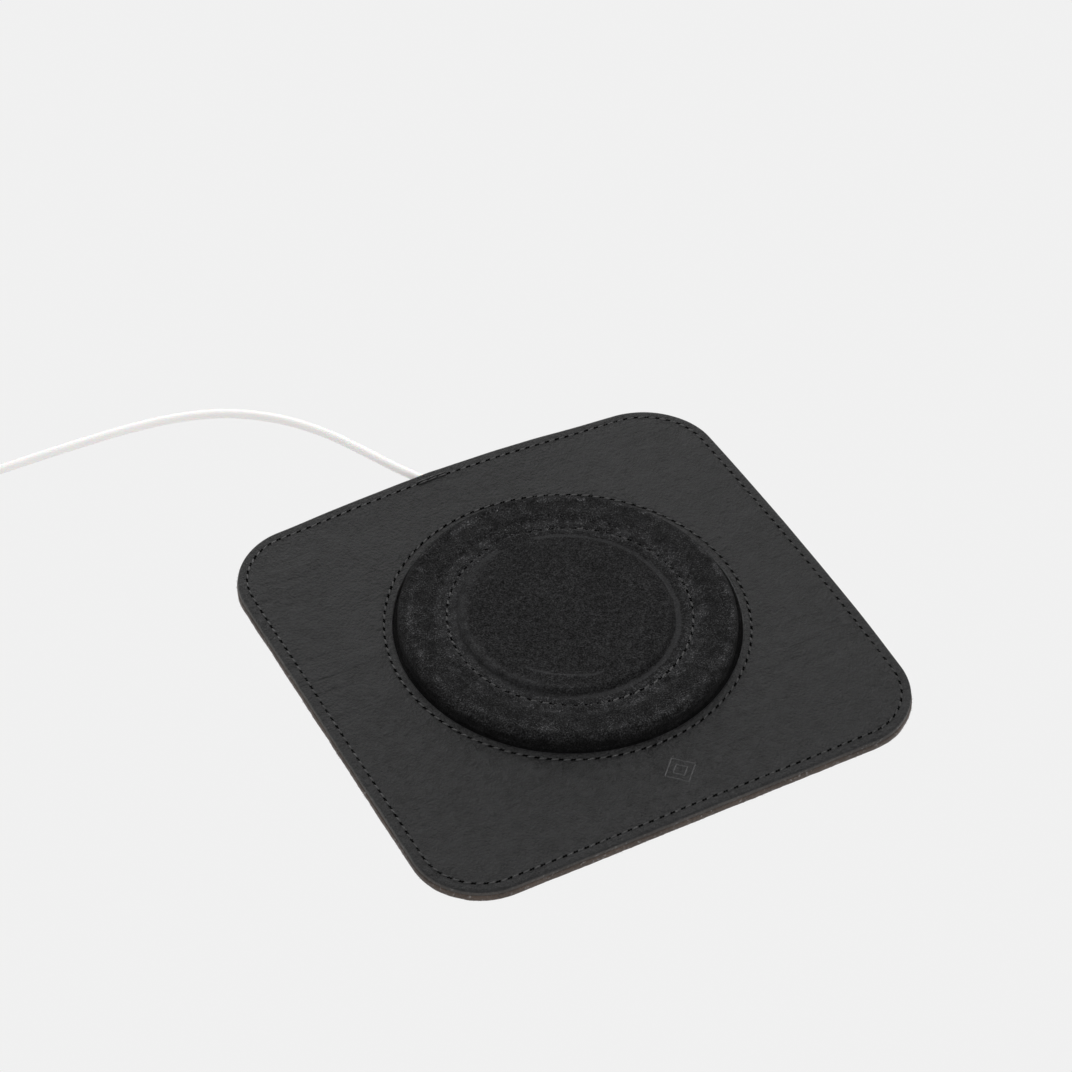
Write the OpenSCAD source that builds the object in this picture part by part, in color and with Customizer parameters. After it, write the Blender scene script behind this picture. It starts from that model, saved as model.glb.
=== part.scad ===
// Leather wireless charging pad: two sewn leather layers with a round magnetic charger
// under a raised suede cover, and the charger's cable leaving at the back.
// Millimetres. The origin is the middle of the underside, +Z is up, and +Y points to the
// back edge, where the cable comes out.

/* [Mat] */
// Overall width, left to right
mat_w = 160; // [150:1:180]
// Overall depth, front to back
mat_d = 155; // [150:1:175]
// Radius of the four corners
corner_r = 21; // [15:1:26]
// How far the right edge bows out at its middle
right_bow = 2.5; // [0:0.5:4]
// How far the back edge bows out at its middle
back_bow = 2.5; // [0:0.5:4]
// Thickness of the lower leather
base_t = 2.2; // [2:0.1:3]
// Thickness of the upper leather
top_t = 1.8; // [1.7:0.1:2.5]
// How far the upper leather is set in from the edge of the lower one
top_inset = 0.3; // [0.1:0.1:0.6]
// Rise of the upper leather over the cable, at the back edge
back_rise = 2; // [0.5:0.25:2.5]

/* [Seams] */
// Distance of the outer seam from the edge of the lower leather
edge_seam = 3.2; // [2.5:0.1:5]
// Length of one stitch and its gap
stitch_pitch = 3.4; // [3:0.1:5]
// Width of the thread
thread_w = 0.6; // [0.4:0.1:0.8]
// Height of the thread above the leather
thread_h = 0.3; // [0.2:0.05:0.4]

/* [Pad] */
// How far the pad's centre is to the right of the mat's centre
pad_x = 1; // [-2:0.5:3]
// How far the pad's centre is behind the mat's centre
pad_y = 3.5; // [0:0.5:4]
// Radius of the round opening in the upper leather
opening_r = 51.2; // [51:0.1:52]
// Radius of the seam round the opening
opening_seam_r = 53.7; // [53:0.1:55]
// Outer radius of the suede cover's wall
pad_r = 49.8; // [49.5:0.1:50.2]
// Thickness of the suede
suede_t = 1.2; // [1:0.1:1.3]
// Height of the padded ring under its suede, above the lower leather
filler_h = 4.8; // [4.5:0.1:5]
// Radius of the pocket seam
pocket_seam_r = 36; // [34:0.1:37.8]
// Half of the angle that the pocket seam leaves open for the cable
seam_gap = 9; // [9:1:14]

/* [Charger] */
// Diameter of the charger
puck_d = 56; // [55.8:0.1:56]
// Thickness of the charger
puck_t = 5.3; // [5.2:0.1:5.4]
// Wall of the charger's aluminium cup
cup_wall = 0.8; // [0.6:0.1:0.9]
// Number of magnets in the ring
magnets = 16; // [12:2:20]
// Turns of the charging coil
coil_turns = 10; // [8:1:10]

/* [Cable] */
// Diameter of the cable
cable_d = 3; // [2.8:0.1:3]
// Where the cable leaves the back edge, to the right of the mat's centre
exit_x = -8; // [-10:0.5:-6]
// Width of the strap that ties the coiled cable
tie_w = 6; // [4:1:8]

/* [Hidden] */

round_fn = 96;         // segments of a large circle
small_fn = 32;         // segments of a small circle
corner_steps = 8;      // steps in each corner of the outline
edge_steps = 8;        // steps along each edge of the outline
ramp_steps = 6;        // steps in each slope of the suede
over = 1;              // how far a cut runs past the solid it cuts
stitch_fill = 0.74;    // share of the pitch that the thread covers

leather_col = [0.16, 0.16, 0.17];
raw_col = [0.36, 0.27, 0.21];
suede_col = [0.08, 0.08, 0.085];
thread_col = [0.05, 0.05, 0.05];
white_col = [0.93, 0.92, 0.9];
metal_col = [0.75, 0.76, 0.78];

mat_top = base_t + top_t;
back_y = mat_d / 2;

// Low ridge of the upper leather over the cable
ridge_x = -4;
ridge_half = 52;
ridge_start = pad_y + opening_seam_r + 0.6;

// Pad heights, from the underside of the mat
tape_t = 0.2;
puck_z = base_t + tape_t;
puck_r = puck_d / 2;
puck_top = puck_z + puck_t;
disc_top = puck_top + suede_t;
filler_top = base_t + filler_h;
ring_top = filler_top + suede_t;
groove_drop = 1.1;
groove_top = ring_top - groove_drop;
groove_under = filler_top - groove_drop;

// Radii of the suede's slopes, from the middle outwards
disc_edge_r = 29.4;
groove_in_r = 32.6;
groove_out_r = 38.4;
ring_in_r = 41.8;
shoulder = 2.8;
wall_in_r = pad_r - 0.9;
flange_t = 0.8;
flange_r = 57;
skive_r = flange_r + 0.4;
fit_gap = 0.3;

// Suede bridge over the cable, across the groove
bridge_w = 10;
bridge_top_w = 6.8;
bridge_from = puck_r + 1.2;
bridge_to = ring_in_r + 0.4;
bridge_room = 0.2;

// Layers inside the charger, from its underside
face_t = 1;
cup_floor = 0.7;
carrier_t = 1;
board_t = 0.7;
ferrite_t = 0.7;
board_r = 21;
magnet_in_r = 22.9;
magnet_out_r = 26.7;
shunt_t = 0.6;
carrier_z = cup_floor;
board_z = carrier_z + carrier_t;
ferrite_z = board_z + board_t;
coil_z = ferrite_z + ferrite_t;
face_z = puck_t - face_t;
cable_slot = 12;
neck_r = 1.6;
boot_r = 2.1;
boot_end_r = 1.7;

// Cable channel
cable_r = cable_d / 2;
cable_z = 2;
channel_w = cable_d + 0.6;
channel_floor = 0.4;
channel_roof = cable_z + cable_r + 0.1;
exit_turn = 27;
exit_dir = [-sin(exit_turn), cos(exit_turn), 0];
exit_point = [exit_x, back_y, cable_z];
neck_z = 2.5;
collar_z = puck_z + neck_z;
collar_end = 36;
collar_point = [pad_x, pad_y + collar_end, collar_z];

// Cable inside the mat, from the charger's collar to the back edge
inner_route = [
    collar_point,
    [1, 43, 4.5],
    [0.7, 46.5, 3.2],
    [0.1, 50, 2.15],
    [-0.8, 54, cable_z],
    [-2.2, 60, cable_z],
    [-4, 66.5, cable_z],
    [-6, 73, cable_z],
    exit_point
];

// Free cable on the table, as steps from the point where it leaves the mat
run_route = [
    [0, 0, 2], [-2.4, 4.8, 1.7], [-5.2, 10, 1.5], [-8.5, 16.5, 1.5], [-12, 23.5, 1.5],
    [-16, 31, 1.5], [-21, 38.5, 1.5], [-27, 45.5, 1.5], [-34, 51.5, 1.5], [-42, 56.5, 1.5],
    [-51, 60, 1.5], [-61, 62.3, 1.5], [-72, 63.6, 1.5], [-84, 64.2, 1.5], [-98, 64.5, 1.5],
    [-113, 64.5, 1.5], [-128, 64.5, 1.6], [-140, 64.5, 1.9], [-147, 64.5, 2]
];

// Wound coil: four turns below and three above, a cable's thickness apart
coil_mid_r = 15.75;
coil_in_r = coil_mid_r - 4 * cable_r;
coil_out_r = coil_mid_r + 4 * cable_r;
tie_t = 0.5;
layer_step = cable_d * sin(60);
coil_low_z = tie_t + cable_r;
coil_high_z = coil_low_z + layer_step;
coil_at = [exit_x - 157, back_y + 64.5 - (coil_out_r - cable_r)];
coil_top = coil_high_z + cable_r;
tail_r = coil_mid_r + 2 * cable_r;
tail_cut = 10;

// Cable from the coil to the plug, as steps from the coil's centre
tail_route = [
    [-tail_r, -tail_cut, coil_high_z], [-18.8, -14, 4.3], [-19, -19, 3.1], [-19.4, -25, 1.8],
    [-20, -31, 1.5], [-20.5, -37, 1.9], [-20.8, -42, 2.7], [-21, -46, 3.1]
];

// USB plug
plug_at = [coil_at[0] - 21, coil_at[1] - 46];
plug_z = 3.1;
relief_l = 9;
housing_l = 18;
housing_w = 10.4;
housing_h = 6.2;
shell_w = 8.3;
shell_h = 2.5;
shell_l = 6.6;
shell_wall = 0.3;
shell_seat = 2;
tongue_slot = [6.8, 0.9, 5.2];

// ---- Helpers ----

function unit(v) = v / norm(v);
function lerp(a, b, t) = a + (b - a) * t;

// Arc of points round [cx, cy]
function arc(cx, cy, r, from, to, steps) =
    [for (i = [0 : steps]) let (a = lerp(from, to, i / steps)) [cx + r * cos(a), cy + r * sin(a)]];

// Smooth S-shaped slope from a to b
function ramp(a, b) =
    [for (i = [0 : ramp_steps]) let (t = i / ramp_steps)
        [lerp(a[0], b[0], t), lerp(a[1], b[1], (1 - cos(180 * t)) / 2)]];

// Catmull-Rom point on segment i of a route, at t from 0 to 1
function on_curve(p, i, t) =
    let (a = p[max(i - 1, 0)], b = p[i], c = p[i + 1], d = p[min(i + 2, len(p) - 1)])
    0.5 * (2 * b + (c - a) * t + (2 * a - 5 * b + 4 * c - d) * t * t
        + (3 * b - a - 3 * c + d) * t * t * t);

// Route with steps points on each segment
function smooth(p, steps) = concat(
    [for (i = [0 : len(p) - 2]) for (k = [0 : steps - 1]) on_curve(p, i, k / steps)],
    [p[len(p) - 1]]);

// Direction of a route at point i, with its two end directions given
function heading(p, i, first, last) =
    i == 0 ? first : i == len(p) - 1 ? last : unit(p[i + 1] - p[i - 1]);

// Closed tube with flat ends that follows a route
module tube(p, r, first, last, sides = 8) {
    rings = len(p);
    points = [for (i = [0 : rings - 1])
        let (h = heading(p, i, first, last), s = unit(cross([0, 0, 1], h)), u = cross(h, s))
        for (k = [0 : sides - 1]) p[i] + r * (cos(360 * k / sides) * s + sin(360 * k / sides) * u)];
    walls = [for (i = [0 : rings - 2]) for (k = [0 : sides - 1])
        let (a = i * sides + k, b = i * sides + (k + 1) % sides)
        [a, a + sides, b + sides, b]];
    start = [for (k = [0 : sides - 1]) k];
    end = [for (k = [sides - 1 : -1 : 0]) (rings - 1) * sides + k];
    polyhedron(points, concat([start], walls, [end]));
}

// Outline of the mat, set in by inset: a square with round corners, whose right and back
// edges bow out. Its box stays centred on the origin.
function outline(inset) =
    let (hx = (mat_w - right_bow) / 2, hy = (mat_d - back_bow) / 2,
        r = corner_r - inset, ix = hx - inset, iy = hy - inset,
        corners = [[ix - r, iy - r, 0], [r - ix, iy - r, 90], [r - ix, r - iy, 180], [ix - r, r - iy, 270]],
        plain = [for (k = [0 : 3])
            let (c = corners[k], n = corners[(k + 1) % 4],
                bend = arc(c[0], c[1], r, c[2], c[2] + 90, corner_steps),
                next = [n[0] + r * cos(n[2]), n[1] + r * sin(n[2])])
            each concat(bend, [for (i = [1 : edge_steps - 1]) lerp(bend[corner_steps], next, i / edge_steps)])])
    [for (p = plain)
        [p[0] - right_bow / 2 + (p[0] > 0 ? right_bow * (1 - pow(p[1] / hy, 2)) * p[0] / hx : 0),
         p[1] - back_bow / 2 + (p[1] > 0 ? back_bow * (1 - pow(p[0] / hx, 2)) * p[1] / hy : 0)]];

// Upper face of the mat: flat, with a low ridge that widens towards the back edge
function ridge_z(x, y) =
    max(0, back_rise * ((y - ridge_start) / (back_y - ridge_start) - pow((x - ridge_x) / ridge_half, 2)));
function on_mat(p) = [p[0], p[1], mat_top + ridge_z(p[0], p[1])];

// Plan of the cable's channel, as a band of width w along the cable inside the mat
function channel_plan(w) =
    let (p = concat(smooth(inner_route, 2), [exit_point + 4 * exit_dir]), n = len(p) - 1,
        side = [for (i = [0 : n]) unit([-(p[min(i + 1, n)] - p[max(i - 1, 0)])[1],
            (p[min(i + 1, n)] - p[max(i - 1, 0)])[0]])])
    concat([for (i = [0 : n]) [p[i][0], p[i][1]] + side[i] * w / 2],
        [for (i = [n : -1 : 0]) [p[i][0], p[i][1]] - side[i] * w / 2]);

module channel(from, to) {
    translate([0, 0, from]) linear_extrude(to - from) polygon(channel_plan(channel_w));
}

// One stitch from a to b on a surface
module stitch(a, b, w = thread_w, h = thread_h) {
    span = b - a;
    run = norm([span[0], span[1]]);
    translate(a) rotate([0, -atan2(span[2], run), atan2(span[1], span[0])])
        translate([0, -w / 2, 0]) cube([norm(span), w, h]);
}

// Distances along a closed outline
function lengths(p) = [for (i = [0 : len(p) - 1]) norm(p[(i + 1) % len(p)] - p[i])];
function sums(v, i = 0, total = 0) =
    i == len(v) ? [total] : concat([total], sums(v, i + 1, total + v[i]));
function at_length(p, s, d) =
    let (i = max([for (k = [0 : len(p) - 1]) s[k] <= d ? k : 0]))
    lerp(p[i], p[(i + 1) % len(p)], (d - s[i]) / (s[i + 1] - s[i]));

// Row of stitches on a circle, from one angle to another
module seam_arc(r, from, to, z) {
    count = round((to - from) / 360 * 2 * PI * r / stitch_pitch);
    step = (to - from) / count;
    for (i = [0 : count - 1]) {
        a = from + i * step;
        b = a + stitch_fill * step;
        stitch([pad_x + r * cos(a), pad_y + r * sin(a), z], [pad_x + r * cos(b), pad_y + r * sin(b), z]);
    }
}

module at_pad(z = 0) {
    translate([pad_x, pad_y, z]) children();
}

module ring(r_in, r_out, h) {
    difference() {
        cylinder(r = r_out, h = h, $fn = round_fn);
        translate([0, 0, -over]) cylinder(r = r_in, h = h + 2 * over, $fn = round_fn);
    }
}

// ---- Leather and suede ----

module base_panel() {
    color(raw_col) difference() {
        linear_extrude(base_t) polygon(outline(0));
        channel(channel_floor, base_t + over);
    }
}

// Low ridge over the cable, as a long flat lens that tilts up towards the back
module ridge() {
    length = back_y + over - ridge_start;
    tilt = atan2(back_rise, back_y - ridge_start);
    depth = top_t / 2;
    steps = 12;
    crest = [for (i = [0 : steps]) let (t = 2 * i / steps - 1) [t * ridge_half, -back_rise * t * t]];
    translate([ridge_x, ridge_start, mat_top]) rotate([90 + tilt, 0, 0]) mirror([0, 0, 1])
        linear_extrude(length)
            polygon(concat(crest, [[ridge_half, -back_rise - depth], [-ridge_half, -back_rise - depth]]));
}

// Blind-tooled maker's mark: two nested diamonds
module mark() {
    mark_at = [1.5, -61.5];
    mark_depth = 0.2;
    line = 0.6;
    translate([mark_at[0], mark_at[1], mat_top - mark_depth]) for (size = [5.2, 2.6])
        linear_extrude(mark_depth + over) difference() {
            rotate(45) square(size * sqrt(2), center = true);
            rotate(45) square(size * sqrt(2) - 2 * line, center = true);
        }
}

module top_panel() {
    color(leather_col) difference() {
        union() {
            translate([0, 0, base_t]) linear_extrude(top_t) polygon(outline(top_inset));
            intersection() {
                translate([0, 0, base_t]) linear_extrude(top_t + back_rise + over)
                    polygon(outline(top_inset));
                ridge();
            }
        }
        at_pad() cylinder(r = opening_r, h = mat_top + back_rise + over, $fn = round_fn);
        at_pad(base_t - over) cylinder(r = skive_r, h = flange_t + over, $fn = round_fn);
        channel(base_t - over, channel_roof);
        mark();
    }
}

// Section of the suede cover, from the middle out to the sewn flange and back underneath
function suede_section() = concat(
    [[0, disc_top]],
    ramp([disc_edge_r, disc_top], [groove_in_r, groove_top]),
    ramp([groove_out_r, groove_top], [ring_in_r, ring_top]),
    arc(pad_r - shoulder, ring_top - shoulder, shoulder, 90, 0, ramp_steps),
    [[pad_r, base_t + flange_t], [flange_r, base_t + flange_t], [flange_r, base_t], [wall_in_r, base_t]],
    arc(wall_in_r - shoulder + suede_t, filler_top - shoulder + suede_t, shoulder - suede_t, 0, 90, ramp_steps),
    ramp([ring_in_r + 0.6, filler_top], [groove_out_r + 0.6, groove_under]),
    ramp([groove_in_r - 0.5, groove_under], [puck_r + fit_gap, puck_top]),
    [[0, puck_top]]);

// Suede that bridges the groove where the cable passes under it
module cable_bridge() {
    sink = 0.05;
    translate([0, bridge_to, 0]) rotate([90, 0, 0]) linear_extrude(bridge_to - bridge_from)
        polygon([[-bridge_top_w / 2, ring_top - sink], [bridge_top_w / 2, ring_top - sink],
            [bridge_w / 2, groove_top - sink], [bridge_w / 2, groove_under + sink],
            [-bridge_w / 2, groove_under + sink], [-bridge_w / 2, groove_top - sink]]);
}

module suede_cover() {
    tunnel_w = 4.6;
    tunnel_top = collar_z + 2.3;
    color(suede_col) difference() {
        at_pad() union() {
            rotate_extrude($fn = round_fn) polygon(suede_section());
            cable_bridge();
        }
        at_pad() translate([-tunnel_w / 2, puck_r + 0.1, groove_under - over])
            cube([tunnel_w, ring_in_r + 0.7 - puck_r, tunnel_top - groove_under + over]);
        channel(base_t - over, channel_roof);
    }
}

function filler_section() = concat(
    [[puck_r + fit_gap + 0.2, base_t], [puck_r + fit_gap + 0.2, groove_under]],
    ramp([groove_out_r + 1, groove_under], [ring_in_r + 1, filler_top]),
    arc(wall_in_r - fit_gap - 1.7, filler_top - 1.7, 1.7, 90, 0, ramp_steps),
    [[wall_in_r - fit_gap, base_t]]);

module filler_ring() {
    slot_w = 4.8;
    color("dimgray") difference() {
        at_pad() rotate_extrude($fn = round_fn) polygon(filler_section());
        at_pad() translate([-slot_w / 2, puck_r - over, base_t - over])
            cube([slot_w, wall_in_r - puck_r, filler_h + 2 * over]);
        at_pad() translate([-bridge_w / 2 - bridge_room, puck_r, groove_under])
            cube([bridge_w + 2 * bridge_room, bridge_to + bridge_room - puck_r, filler_h]);
        channel(base_t - over, filler_top + over);
    }
}

// ---- Thread ----

module perimeter_stitching() {
    path = outline(edge_seam);
    s = sums(lengths(path));
    total = s[len(path)];
    count = round(total / stitch_pitch);
    clear = 0.03;
    color(thread_col) for (i = [0 : count - 1]) {
        a = on_mat(at_length(path, s, i * total / count));
        b = on_mat(at_length(path, s, (i + stitch_fill) * total / count));
        lift = a[2] > mat_top || b[2] > mat_top ? clear : 0;
        stitch(a + [0, 0, lift], b + [0, 0, lift]);
    }
}

module opening_stitching() {
    color(thread_col) seam_arc(opening_seam_r, 0, 360, mat_top);
}

module pocket_stitching() {
    color(thread_col) seam_arc(pocket_seam_r, 90 + seam_gap, 450 - seam_gap, groove_top);
}

// Doubled stitches beside the seam, where the cable leaves
module exit_bar_tack() {
    length = 2.6;
    gap = 0.6;
    clear = 0.05;
    rows = [-1, 1];
    color(thread_col) for (row = rows) for (i = [0 : 2]) {
        x = exit_x - 4.5 + i * (length + gap);
        y = back_y - edge_seam + row * 0.9;
        a = on_mat([x, y]);
        b = on_mat([x + length, y]);
        stitch(a + [0, 0, clear], b + [0, 0, clear], 0.5, thread_h);
    }
}

// ---- Charger ----

module adhesive_disc() {
    color("whitesmoke") at_pad(base_t) cylinder(r = puck_r - 2, h = tape_t, $fn = round_fn);
}

module puck_shell() {
    edge = 1;
    inner_r = puck_r - cup_wall;
    color(metal_col) at_pad(puck_z) difference() {
        rotate_extrude($fn = round_fn) polygon(concat(
            [[0, 0]],
            arc(puck_r - edge, edge, edge, 270, 360, 4),
            [[puck_r, puck_t], [inner_r, puck_t], [inner_r, cup_floor], [0, cup_floor]]));
        translate([0, inner_r - over, neck_z]) rotate([-90, 0, 0])
            cylinder(r = neck_r + 0.1, h = cup_wall + 2 * over, $fn = small_fn);
    }
}

module puck_face() {
    color(white_col) at_pad(puck_z + face_z)
        cylinder(r = puck_r - cup_wall - 0.2, h = face_t, $fn = round_fn);
}

module cable_gap(z, h) {
    half = 3.4;
    translate([-half, 0, z - over]) cube([2 * half, puck_r, h + 2 * over]);
}

module inner_frame() {
    frame_in_r = 19.5;
    color("gainsboro") at_pad(puck_z + carrier_z) difference() {
        ring(frame_in_r, puck_r - cup_wall - 0.3, carrier_t);
        cable_gap(0, carrier_t);
    }
}

module magnet_shunt() {
    color(metal_col) at_pad(puck_z + board_z) rotate(90 + cable_slot)
        rotate_extrude(angle = 360 - 2 * cable_slot, $fn = round_fn)
            translate([magnet_in_r, 0]) square([magnet_out_r - magnet_in_r, shunt_t]);
}

module magnet_ring() {
    step = (360 - 2 * cable_slot) / magnets;
    gap = 1;
    height = 1.9;
    color("silver") at_pad(puck_z + board_z + shunt_t) for (i = [0 : magnets - 1])
        rotate(90 + cable_slot + i * step + gap / 2)
            rotate_extrude(angle = step - gap, $fn = round_fn)
                translate([magnet_in_r, 0]) square([magnet_out_r - magnet_in_r, height]);
}

module nfc_antenna() {
    height = 0.2;
    color("orange") at_pad(puck_z + face_z - height) ring(21.5, 22.5, height);
}

// Flat winding: round turns that touch, as one corrugated ring
module charging_coil() {
    turn_r = 0.55;
    pitch = 1.04;
    first_r = 9.8;
    color([0.72, 0.42, 0.22]) at_pad(puck_z + coil_z + turn_r)
        rotate_extrude($fn = round_fn) for (i = [0 : coil_turns - 1])
            translate([first_r + i * pitch, 0]) circle(r = turn_r, $fn = small_fn);
}

module ferrite_shield() {
    color([0.2, 0.2, 0.22]) at_pad(puck_z + ferrite_z)
        cylinder(r = board_r - 0.4, h = ferrite_t, $fn = round_fn);
}

module circuit_board() {
    color("darkgreen") at_pad(puck_z + board_z) cylinder(r = board_r, h = board_t, $fn = round_fn);
}

// Rectangular component that hangs under the board
module component(x, y, w, d, h) {
    at_pad(puck_z + board_z - h) translate([x - w / 2, y - d / 2, 0]) cube([w, d, h]);
}

module controller_chip() {
    color("black") component(-6, 3, 6, 6, 0.8);
}

module power_inductor() {
    color("dimgray") component(8, 5, 5, 5, 0.9);
}

module capacitors() {
    color("tan") for (a = [200 : 25 : 325]) component(13 * cos(a), 13 * sin(a), 3.2, 1.6, 0.85);
}

module bridge_transistors() {
    color("black") for (i = [0 : 3]) component(-6 + 4 * i, -5, 3, 3, 0.75);
}

module lead_wires() {
    wire_r = 0.3;
    from = 17.5;
    to = 25.5;
    color("firebrick") at_pad(puck_z + board_z - wire_r - 0.05) for (i = [0 : 3])
        translate([-1.2 + 0.8 * i, from, 0]) rotate([-90, 0, 0])
            cylinder(r = wire_r, h = to - from, $fn = 16);
}

// Anchor block inside the cup, neck through its wall and a tapered boot outside
module puck_strain_relief() {
    anchor = [5, 1.5, 3.4];
    anchor_y = 25.5;
    boot_start = puck_r + 0.2;
    color(white_col) at_pad(collar_z) union() {
        translate([-anchor[0] / 2, anchor_y, -anchor[2] / 2]) cube(anchor);
        translate([0, anchor_y, 0]) rotate([-90, 0, 0])
            cylinder(r = neck_r, h = boot_start - anchor_y, $fn = small_fn);
        translate([0, boot_start, 0]) rotate([-90, 0, 0])
            cylinder(r1 = boot_r, r2 = boot_end_r, h = collar_end - boot_start, $fn = small_fn);
    }
}

// ---- Cable ----

module cable_inner_run() {
    color(white_col) tube(smooth(inner_route, 2), cable_r, [0, 1, 0], exit_dir);
}

module cable_run() {
    color(white_col) tube(smooth([for (p = run_route) [exit_x + p[0], back_y + p[1], p[2]]], 2),
        cable_r, exit_dir, [-1, 0, 0]);
}

// Outer shape of the wound coil, with a flat landing for the cable at each end
module cable_coil() {
    half = cable_d;
    top_in = coil_in_r + cable_r;
    top_out = coil_out_r - cable_r;
    color(white_col) translate([coil_at[0], coil_at[1], 0]) difference() {
        rotate_extrude($fn = round_fn) polygon([
            [coil_in_r, tie_t], [coil_out_r, tie_t], [coil_out_r, coil_low_z + cable_r],
            [top_out, coil_top], [top_in, coil_top], [coil_in_r, coil_low_z + cable_r]]);
        translate([10, coil_out_r - cable_r - half, 0]) cube([coil_out_r, 2 * half, coil_top + over]);
        translate([-tail_r - half, -tail_cut, 0]) mirror([0, 1, 0])
            cube([2 * half, coil_out_r, coil_top + over]);
    }
}

// Strap round one side of the coil, opposite the cable's way in
module cable_tie() {
    room = 0.2;
    from = sqrt(coil_in_r * coil_in_r - tie_w * tie_w / 4) - room;
    inside = coil_out_r + room - from;
    color("black") translate([coil_at[0], coil_at[1], 0]) rotate(-60)
        translate([from - tie_t, -tie_w / 2, 0]) difference() {
            cube([inside + 2 * tie_t, tie_w, coil_top + room + tie_t]);
            translate([tie_t, -over, tie_t]) cube([inside, tie_w + 2 * over, coil_top + room - tie_t]);
        }
}

module cable_tail() {
    color(white_col) tube(smooth([for (p = tail_route) [coil_at[0] + p[0], coil_at[1] + p[1], p[2]]], 2),
        cable_r, [0, -1, 0], [0, -1, 0]);
}

// ---- Plug: it lies flat, and points towards the front ----

module at_plug(along) {
    translate([plug_at[0], plug_at[1] - along, plug_z]) rotate([90, 0, 0]) children();
}

module plug_strain_relief() {
    color(white_col) at_plug(0) cylinder(r1 = 1.8, r2 = 2.7, h = relief_l, $fn = small_fn);
}

// Slab with half-round sides, w by h, along the plug
module rounded_bar(w, h, l) {
    r = h / 2;
    for (side = [-1, 1]) translate([side * (w / 2 - r), 0, 0]) cylinder(r = r, h = l, $fn = small_fn);
    translate([r - w / 2, -r, 0]) cube([w - h, h, l]);
}

module plug_housing() {
    board_pocket = [8.6, 1.6, 12];
    color(white_col) at_plug(relief_l) difference() {
        rounded_bar(housing_w, housing_h, housing_l);
        translate([-board_pocket[0] / 2, -board_pocket[1] / 2, housing_l - shell_seat - board_pocket[2]])
            cube([board_pocket[0], board_pocket[1], board_pocket[2] + over]);
        translate([0, 0, housing_l - shell_seat])
            rounded_bar(shell_w + 0.1, shell_h + 0.1, shell_seat + over);
    }
}

module plug_board() {
    size = [8, 0.8, 11];
    color("darkgreen") at_plug(relief_l + housing_l - shell_seat - size[2])
        translate([-size[0] / 2, -size[1] / 2, 0]) cube(size);
}

module plug_shell() {
    color(metal_col) at_plug(relief_l + housing_l - shell_seat) difference() {
        rounded_bar(shell_w, shell_h, shell_l + shell_seat);
        translate([0, 0, -over])
            rounded_bar(shell_w - 2 * shell_wall, shell_h - 2 * shell_wall, shell_l + shell_seat + 2 * over);
    }
}

module plug_insulator() {
    room = 0.1;
    w = shell_w - 2 * shell_wall - room;
    h = shell_h - 2 * shell_wall - room;
    length = shell_l + shell_seat - 3 * room;
    color([0.12, 0.12, 0.12]) at_plug(relief_l + housing_l - shell_seat) difference() {
        rounded_bar(w, h, length);
        translate([-tongue_slot[0] / 2, -tongue_slot[1] / 2, length - tongue_slot[2]])
            cube([tongue_slot[0], tongue_slot[1], tongue_slot[2] + over]);
    }
}

module plug_contacts() {
    count = 12;
    pitch = 0.5;
    size = [0.25, 0.12, 3.6];
    color("gold") at_plug(relief_l + housing_l + shell_l - 0.9 - size[2])
        for (side = [-1, 1]) for (i = [0 : count - 1])
            translate([(i - (count - 1) / 2) * pitch - size[0] / 2,
                side * (tongue_slot[1] - size[1]) / 2 - size[1] / 2, 0]) cube(size);
}

base_panel();
top_panel();
suede_cover();
filler_ring();
perimeter_stitching();
opening_stitching();
pocket_stitching();
exit_bar_tack();
adhesive_disc();
puck_shell();
puck_face();
inner_frame();
magnet_shunt();
magnet_ring();
nfc_antenna();
charging_coil();
ferrite_shield();
circuit_board();
controller_chip();
power_inductor();
capacitors();
bridge_transistors();
lead_wires();
puck_strain_relief();
cable_inner_run();
cable_run();
cable_coil();
cable_tie();
cable_tail();
plug_strain_relief();
plug_housing();
plug_board();
plug_insulator();
plug_contacts();
plug_shell();
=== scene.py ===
"""Leather wireless charging mat: its pieces, finishes, light and camera.

Meshes are drawn in millimetres, in the frame of the CAD nodes, and brought to metres when
a piece is finished. The origin is the middle of the mat's underside, +Z is up and +Y points
to the back edge, where the cable leaves.
"""

import logging
import math
import random
from collections.abc import Callable
from dataclasses import dataclass, field
from enum import Enum

import bmesh
import bpy
import numpy as np
from mathutils import Matrix, Vector, noise


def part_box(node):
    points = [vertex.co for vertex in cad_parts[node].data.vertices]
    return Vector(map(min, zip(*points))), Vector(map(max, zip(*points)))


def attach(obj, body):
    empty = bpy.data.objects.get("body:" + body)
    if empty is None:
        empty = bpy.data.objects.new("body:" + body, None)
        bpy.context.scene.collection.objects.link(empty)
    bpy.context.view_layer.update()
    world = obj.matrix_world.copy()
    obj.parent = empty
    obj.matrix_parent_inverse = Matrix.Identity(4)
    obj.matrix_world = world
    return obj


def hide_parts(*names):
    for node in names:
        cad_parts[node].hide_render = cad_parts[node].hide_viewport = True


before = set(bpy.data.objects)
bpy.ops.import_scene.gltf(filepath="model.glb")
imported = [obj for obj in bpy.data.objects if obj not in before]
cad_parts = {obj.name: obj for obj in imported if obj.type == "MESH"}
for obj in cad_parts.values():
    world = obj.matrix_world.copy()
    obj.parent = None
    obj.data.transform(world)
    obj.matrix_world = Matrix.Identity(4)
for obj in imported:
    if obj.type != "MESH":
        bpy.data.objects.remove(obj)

MM = 0.001
LOG = logging.getLogger("charging_mat")
Colour = tuple[float, float, float]
Place = Callable[[float], tuple[float, float, float]]


def smoothstep(low: float, high: float, value: float) -> float:
    """Returns 0 below low, 1 above high and a smooth S between them."""
    t = min(1.0, max(0.0, (value - low) / (high - low)))
    return t * t * (3 - 2 * t)


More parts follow.
